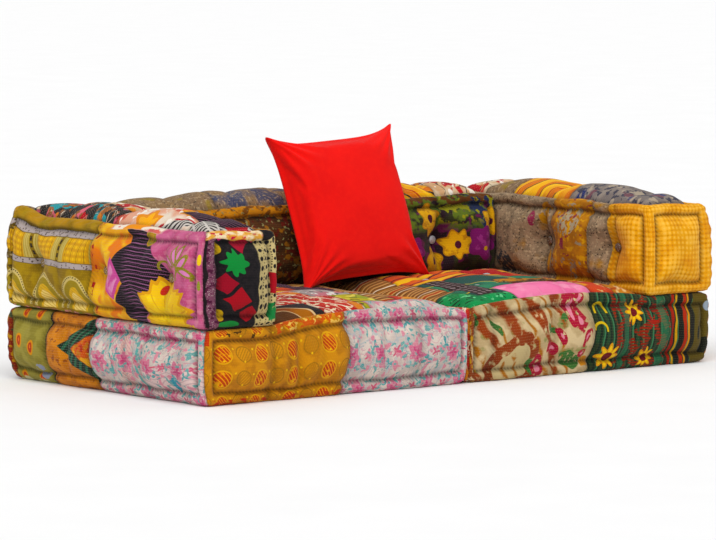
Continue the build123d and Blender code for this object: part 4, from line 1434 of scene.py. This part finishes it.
def hot_pink():
    """Right seat, top, front: hot pink puff with a violet-blue edge."""
    c = Cloth("hot_pink")
    c.ground("ef8fb2", "e67ea6", 8)
    c.lay("f7afc6", c.blots(20, 0.25, 0.10) * 0.6)
    c.lay("6a5fc2", c.v.over(0.485, 0.01) * c.blots(12, 0.6, 0.1))
    return c.finish("ef9ac0", stitch=0.25)


def flame():
    """Right seat, top: red and orange flames on a worn ground."""
    c = Cloth("flame_print", 0.008)
    c.ground("b82418", "c8401a", 9)
    c.blot(("e0902a", 8, 0.30, 0.03, 1.0), ("5c1a18", 14, 0.16, 0.03), ("d9b07a", 30, 0.14, 0.03))
    c.lay("b3161a", c.diamond(c.u - 0.475, c.v - 0.475, 0.105, 0.105))
    return c.finish()


def apricot_tan():
    """Right seat, top, by the right arm: orange-tan, worn."""
    c = Cloth("apricot_tan", 0.006)
    c.ground("c98a4a", "b8763a", 10)
    c.lay("a8502a", c.lines(c.v + (c.u * 7.0).sine() * 0.02, 0.050, 0.24))
    c.blot(("e3c08a", 22, 0.25, 0.05), ("3a4a8a", 10, 0.08, 0.03))
    return c.finish("dfb27c")


def calico():
    """Undersides: unbleached base cloth with a faint slub."""
    c = Cloth("calico")
    c.ground("9a8f7c", "8f8472", 20)
    c.lay("b3a88f", c.lines(c.v, 0.012, 0.15) * 0.5)
    return c.finish("c9bda6", stitch=0.3)


def columns(*cloths):
    """Fields side by side: a cloth, then the u at which the next begins, and so on."""
    ends = [-9, *cloths[1::2], 9]
    return [(cloth, (a, b, -9, 9)) for cloth, a, b in zip(cloths[::2], ends, ends[1:])]


def rows(*cloths):
    """Fields one behind the other: a cloth, then the v at which the next begins, and so on."""
    ends = [-9, *cloths[1::2], 9]
    return [(cloth, (-9, 9, a, b)) for cloth, a, b in zip(cloths[::2], ends, ends[1:])]


def patchwork():
    """Which cloth lies where on each side of each cushion, u and v in metres along the side."""
    blocks, petal, star = olive_blocks(), petal_print(), star_print()
    ovals, saffron, rose, vines = olive_ovals(), saffron_zigzag(), rose_print(), rose_print("rose_vines", True)
    mustard, ikat, daisy = mustard_dots(), rust_ikat(), daisy_stripe()
    speckle, bloom, check = grey_speckle(), mustard_bloom(), gold_check()
    dusk, umber, taupe, navy, red_mix = dusk_bloom(), umber_print(), taupe_speckle(), navy_speckle(), harlequin_red()
    carnival, marigold, hatch, plum = carnival_print(), cream_marigold(), zebra_hatch(), plum_stripe()
    sunset, slate, lilac = sunset_swirl(), slate_bloom(), lilac_grey()
    crimson, leaf, tan, lime, ash = crimson_flake(), umber_leaf(), tan_stripe(), lime_dash(), ash_rose()
    ribbon, teal, emerald = ribbon_curves(), teal_ribbon(), emerald_hatch()
    pink, fire, apricot = hot_pink(), flame(), apricot_tan()
    base = columns(calico())
    return {
        "left_seat": {
            "left": columns(ovals, 0.206, saffron, 0.430, vines),
            "front": columns(mustard, 0.486, rose),
            "right": columns(ash, 0.30, lime, 0.62, crimson),
            "rear": columns(check, 0.24, rose, 0.47, crimson, 0.71, navy),
            "top": [
                *columns(crimson, 0.56, lime, 0.70, tan),
                (leaf, (0.245, 0.440, 0, 0.135)), (crimson, (0.245, 0.560, 0.135, 0.300)),
                (crimson, (0.44, 0.60, 0, 0.300)), (ash, (0.56, 0.72, 0.22, 0.36)), (rose, (0.62, 0.93, 0, 0.095)),
                (fire, (0.76, 0.95, 0.095, 0.15)), (ribbon, (0.245, 0.60, 0.36, 0.705)),
                (plum, (0.60, 0.76, 0.36, 0.705)), (umber, (0, 0.245, 0, 0.95)), (navy, (0.245, 0.95, 0.705, 0.95)),
            ],
            "base": base,
        },
        "right_seat": {
            "front": columns(ikat, 0.472, daisy),
            "right": columns(mustard, 0.24, teal, 0.48, speckle, 0.72, ovals),
            "left": columns(ash, 0.30, emerald, 0.62, crimson),
            "rear": columns(slate, 0.24, ikat, 0.47, emerald, 0.71, bloom),
            "top": [
                *rows(teal, 0.40, ribbon),
                (tan, (0, 0.125, 0.20, 0.72)), (emerald, (0, 0.225, 0, 0.085)), (emerald, (0, 0.11, 0.085, 0.19)),
                (pink, (0.225, 0.515, 0, 0.175)), (fire, (0.515, 0.615, 0, 0.175)), (apricot, (0.615, 0.95, 0, 0.30)),
                (fire, (0.39, 0.57, 0.385, 0.575)), (umber, (0.33, 0.56, 0.175, 0.29)),
                (ribbon, (0.56, 0.72, 0.175, 0.50)), (umber, (0.705, 0.95, 0, 0.95)), (navy, (0, 0.95, 0.705, 0.95)),
            ],
            "base": base,
        },
        "left_arm": {
            "left": columns(blocks, 0.438, petal),
            "front": columns(star),
            "right": columns(umber, 0.24, crimson, 0.48, emerald, 0.72, check),
            "rear": columns(mustard, 0.12, speckle),
            "top": [
                *rows(hatch, 0.135, marigold, 0.49, carnival), (plum, (0.095, 0.245, 0.05, 0.24)),
                (red_mix, (0.10, 0.245, 0.49, 0.62)),
            ],
            "base": base,
        },
        "right_arm": {
            "left": columns(speckle, 0.517, bloom, 0.700, speckle, 0.772, check),
            "front": columns(check),
            "right": columns(check, 0.24, bloom, 0.48, rose, 0.72, slate),
            "rear": columns(lilac, 0.12, sunset),
            "top": rows(lilac, 0.045, slate, 0.40, sunset, 0.66, taupe, 0.80, red_mix),
            "base": base,
        },
        "back": {
            "front": columns(umber, 0.90, dusk),
            "left": columns(navy),
            "right": columns(taupe),
            "rear": columns(check, 0.235, rose, 0.47, mustard, 0.705, speckle, 0.94, crimson, 1.175, slate),
            "top": columns(taupe, 0.352, navy, 0.80, taupe, 1.08, sunset, 1.20, red_mix),
            "base": base,
        },
    }


# Red scatter pillow, as its solid stands
PILLOW_SIDE, PILLOW_DEPTH, PILLOW_EAR, PILLOW_LEAN = 0.490, 0.150, 0.025, 19.0
PILLOW_TURN, PILLOW_SINK, PILLOW_SHIFT = 3.0, 0.017, 0.006  # it has slumped a little and sunk into the seats
PILLOW_CAP, PILLOW_REAR_CAP = 0.016, 0.002  # how far its cloth may move; its rear leans on the back
PILLOW_CELLS, CELL_SPAN = 58, 0.92  # the cells follow a sine over this share of a half turn, closer at the rim
CREASE_REACH, CREASE_SPREAD = 0.32, 0.26  # of the creases that fan from its ears, as shares of half a side


def pillow_points():
    """Both panels of the pillow, sewn along one rim: points, quads, u and v, which points are ears, and 1 on the front
    and -1 on the rear. Outline: half a side out, the sides drawn in between the ears by ear (1 - t^4). Fullness: the
    lesser, rounded, of the roots of 1 - s^2 and 1 - t^2, times half the depth, with soft creases that fan from each
    ear: sin(2 count angle) exp(-((r - reach) / spread)^2)."""
    line = np.sin(np.linspace(-np.pi / 2, np.pi / 2, PILLOW_CELLS + 1) * CELL_SPAN) / np.sin(np.pi / 2 * CELL_SPAN)
    s, t = np.meshgrid(line, line, indexing="ij")
    half = PILLOW_SIDE / 2
    x = s * (half - PILLOW_EAR * (1 - t**4))
    y = t * (half - PILLOW_EAR * (1 - s**4))
    full = soft_least(np.sqrt(1 - s**2), np.sqrt(1 - t**2), 2.6)
    full = full * PILLOW_DEPTH / 2 * (np.maximum(np.abs(s), np.abs(t)) < 1)
    crease = np.zeros_like(s)
    for ear_s, ear_t, count, deep in ((-1, 1, 7, 0.0045), (-1, -1, 9, 0.0040), (1, 1, 8, 0.0030), (1, -1, 6, 0.0035)):
        angle = np.arctan2(np.abs(ear_t - t), np.abs(ear_s - s))
        r = np.hypot(ear_t - t, ear_s - s)
        crease += deep * np.sin(2 * count * angle) * np.exp(-((r - CREASE_REACH) / CREASE_SPREAD) ** 2)
    rim = np.minimum(1 - np.abs(s), 1 - np.abs(t))
    front = full + crease * np.clip(rim / 0.10, 0, 1)
    lean, turn = math.radians(90 - PILLOW_LEAN), math.radians(PILLOW_TURN)
    right = np.array([1, 0, 0])
    up = np.array([0, math.cos(lean), math.sin(lean)])
    out = np.array([0, -math.sin(lean), math.cos(lean)])
    low, high = (np.array(v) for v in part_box("scatter_pillow_insert"))
    centre = (low + high) / 2 - PILLOW_SINK * up + PILLOW_SHIFT * right
    across = (x * math.cos(turn) - y * math.sin(turn))[..., None] * right
    along = (x * math.sin(turn) + y * math.cos(turn))[..., None] * up
    panels = [centre + across + along + depth[..., None] * out for depth in (front, -full)]
    n = PILLOW_CELLS + 1
    index = np.arange(n * n).reshape(n, n)
    behind = np.where(rim <= 1e-9, index, index + n * n)
    points = np.concatenate([p.reshape(-1, 3) for p in panels])
    kept, quads = np.unique(np.concatenate([grid_quads(index), grid_quads(behind, True)]), return_inverse=True)
    uv = np.concatenate([np.stack([x, y], -1).reshape(-1, 2)] * 2)[kept]
    ears = np.concatenate([((np.abs(s) > 0.999) & (np.abs(t) > 0.999)).reshape(-1)] * 2)[kept]
    facing = np.concatenate([np.ones(n * n), -np.ones(n * n)])[kept]
    return points[kept], quads.reshape(-1, 4), uv, ears, facing


def red_cotton():
    """Plain red canvas: fine weave, a little slub and soft wear."""
    c = Cloth("red_cotton")
    c.ground("ea1a16", "de1310", 7, 0.5, 0.3)
    c.lay("f0342c", c.blots(60, 0.3, 0.2) * 0.25)
    return c.finish("ea1a16", fade=0.03, stitch=0.0, quilted=False, full=0.93)


def pillow_cover(points, quads, uv):
    """The finished pillow."""
    piece = mesh_of("scatter_pillow_cover", points, quads)
    give_uv(piece.data, uv[quads])
    piece.data.materials.append(red_cotton())
    subdivided(piece)
    return piece


def button_finish(name, light, dark):
    """Buttons, mottled and scuffed."""
    c = Cloth(name, cut=False)
    c.ground(light, dark, 180, 0.5, 0.3)
    c.lay("d9d9dc", c.blots(420, 0.25, 0.1) * 0.5)
    scuff = c.noise(700, 3.0)
    return c.shade(c.colour, scuff * 0.3 + 0.22, scuff, 0.0004, Metallic=0.35)


def twisted_tie():
    """Unbleached tie cord, twisted."""
    c = Cloth("twisted_tie", cut=False)
    c.ground("d8cfb8", "c4b998", 400, 0.5, 0.2)
    x, y, z = c.parts(c.place)
    return c.shade(c.colour, c.noise(300) * 0.2 + 0.7, ((x + y + z) * 2400.0).sine(), 0.0008)


def pale_floor():
    """Pale matt backdrop."""
    c = Cloth("pale_floor", cut=False)
    c.ground("f6f6f6", "f4f4f4", 3, 0.5, 0.4)
    return c.shade(c.colour, c.noise(2) * 0.05 + 0.85, c.noise(200), 0.0001)


def pressed(points, below):
    """A seat's points with the top pushed down under the pillow: the least of z - gap + slope (r - flat) over the
    pillow's low points, r being the distance across, and no rise inside the flat."""
    points = points.copy()
    least, most = below[:, :2].min(0) - DENT_MARGIN, below[:, :2].max(0) + DENT_MARGIN
    near = np.all((points[:, :2] > least) & (points[:, :2] < most), 1)
    mine = np.flatnonzero(near & (points[:, 2] > SEAT_TOP + 0.01))
    low = below[below[:, 2] < below[:, 2].min() + 0.08]
    away = np.hypot(points[mine, None, 0] - low[None, :, 0], points[mine, None, 1] - low[None, :, 1])
    roof = (low[None, :, 2] - DENT_GAP + np.maximum(away - DENT_FLAT, 0) * DENT_SLOPE).min(1)
    points[mine, 2] = np.minimum(points[mine, 2], roof)
    return points


# Light and camera: lengths in metres, but the focal length in millimetres; angles in degrees
FLOOR_REACH = 90
SKY_STRENGTH, SUN_STRENGTH, SUN_WIDTH, TO_SUN = 0.62, 2.0, 50, (-0.42, -0.48, 0.77)
FOCAL_LENGTH, CAMERA_AT, CAMERA_DOWN, CAMERA_TURN = 226.3, (-8.429, -10.509, 1.485), 5.02, -38.63

cushions = make_cushions()
covers = [(c.name, c.points, c.quads, c.pinned, SEAT_PRESSURE, SPARE) for c in cushions]
pillow_start, pillow_quads, pillow_uv, ears, facing = pillow_points()
covers.append(("scatter_pillow", pillow_start, pillow_quads, ears, PILLOW_PRESSURE, PILLOW_SPARE))
settled = stuff(covers)
cloths = patchwork()
pillow_settled = capped(pillow_start, settled[-1], np.where(facing > 0, PILLOW_CAP, PILLOW_REAR_CAP))
for cushion, points in zip(cushions, settled):
    points = creased(cushion, settle(cushion, points))
    if cushion.lower:
        points = pressed(points, pillow_settled)
    piece = cover(cushion, points, cloths[cushion.name])
    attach(piece, cushion.name)
    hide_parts(*(cushion.name + part for part in ("_top_panel", "_base_panel", "_side_border", "_filling")))
pillow = pillow_cover(pillow_settled, pillow_quads, pillow_uv)
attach(pillow, "scatter_pillow")
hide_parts("scatter_pillow_front_panel", "scatter_pillow_back_panel", "scatter_pillow_insert")

pearl, tie = button_finish("pearl_button", "b9b9bd", "a5a5ab"), twisted_tie()
finishes = {
    "left_arm_buttons": button_finish("ochre_button", "8a6a24", "6d5320"),
    "right_arm_buttons": button_finish("umber_button", "6d4a24", "54402c"),
}
for name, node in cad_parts.items():
    if name.endswith(("_buttons", "_tuft_ties")):
        for place in node.material_slots:
            place.material = finishes.get(name, pearl) if name.endswith("_buttons") else tie

corners = FLOOR_REACH * np.array([[-1, -1, 0], [1, -1, 0], [1, 1, 0], [-1, 1, 0.0]])
floor = mesh_of("floor", corners, np.array([[0, 1, 2, 3]]))
floor.data.materials.append(pale_floor())
studio = bpy.data.worlds.new("studio")
bpy.context.scene.world = studio
studio.use_nodes = True
sky = studio.node_tree.nodes["Background"]
sky.inputs["Color"].default_value = (1, 1, 1, 1)
sky.inputs["Strength"].default_value = SKY_STRENGTH
sun = bpy.data.lights.new("soft_sun", "SUN")
sun.energy, sun.angle = SUN_STRENGTH, math.radians(SUN_WIDTH)
in_scene("soft_sun", sun).rotation_euler = Vector(TO_SUN).to_track_quat("Z", "Y").to_euler()

lens = bpy.data.cameras.new("camera")
lens.lens, lens.sensor_width, lens.clip_end = FOCAL_LENGTH, 36, 400
camera = in_scene("camera", lens)
camera.location = CAMERA_AT
camera.rotation_euler = Euler((math.radians(90 - CAMERA_DOWN), 0, math.radians(CAMERA_TURN)))
bpy.context.scene.camera = camera
bpy.context.scene.view_settings.view_transform = "Standard"
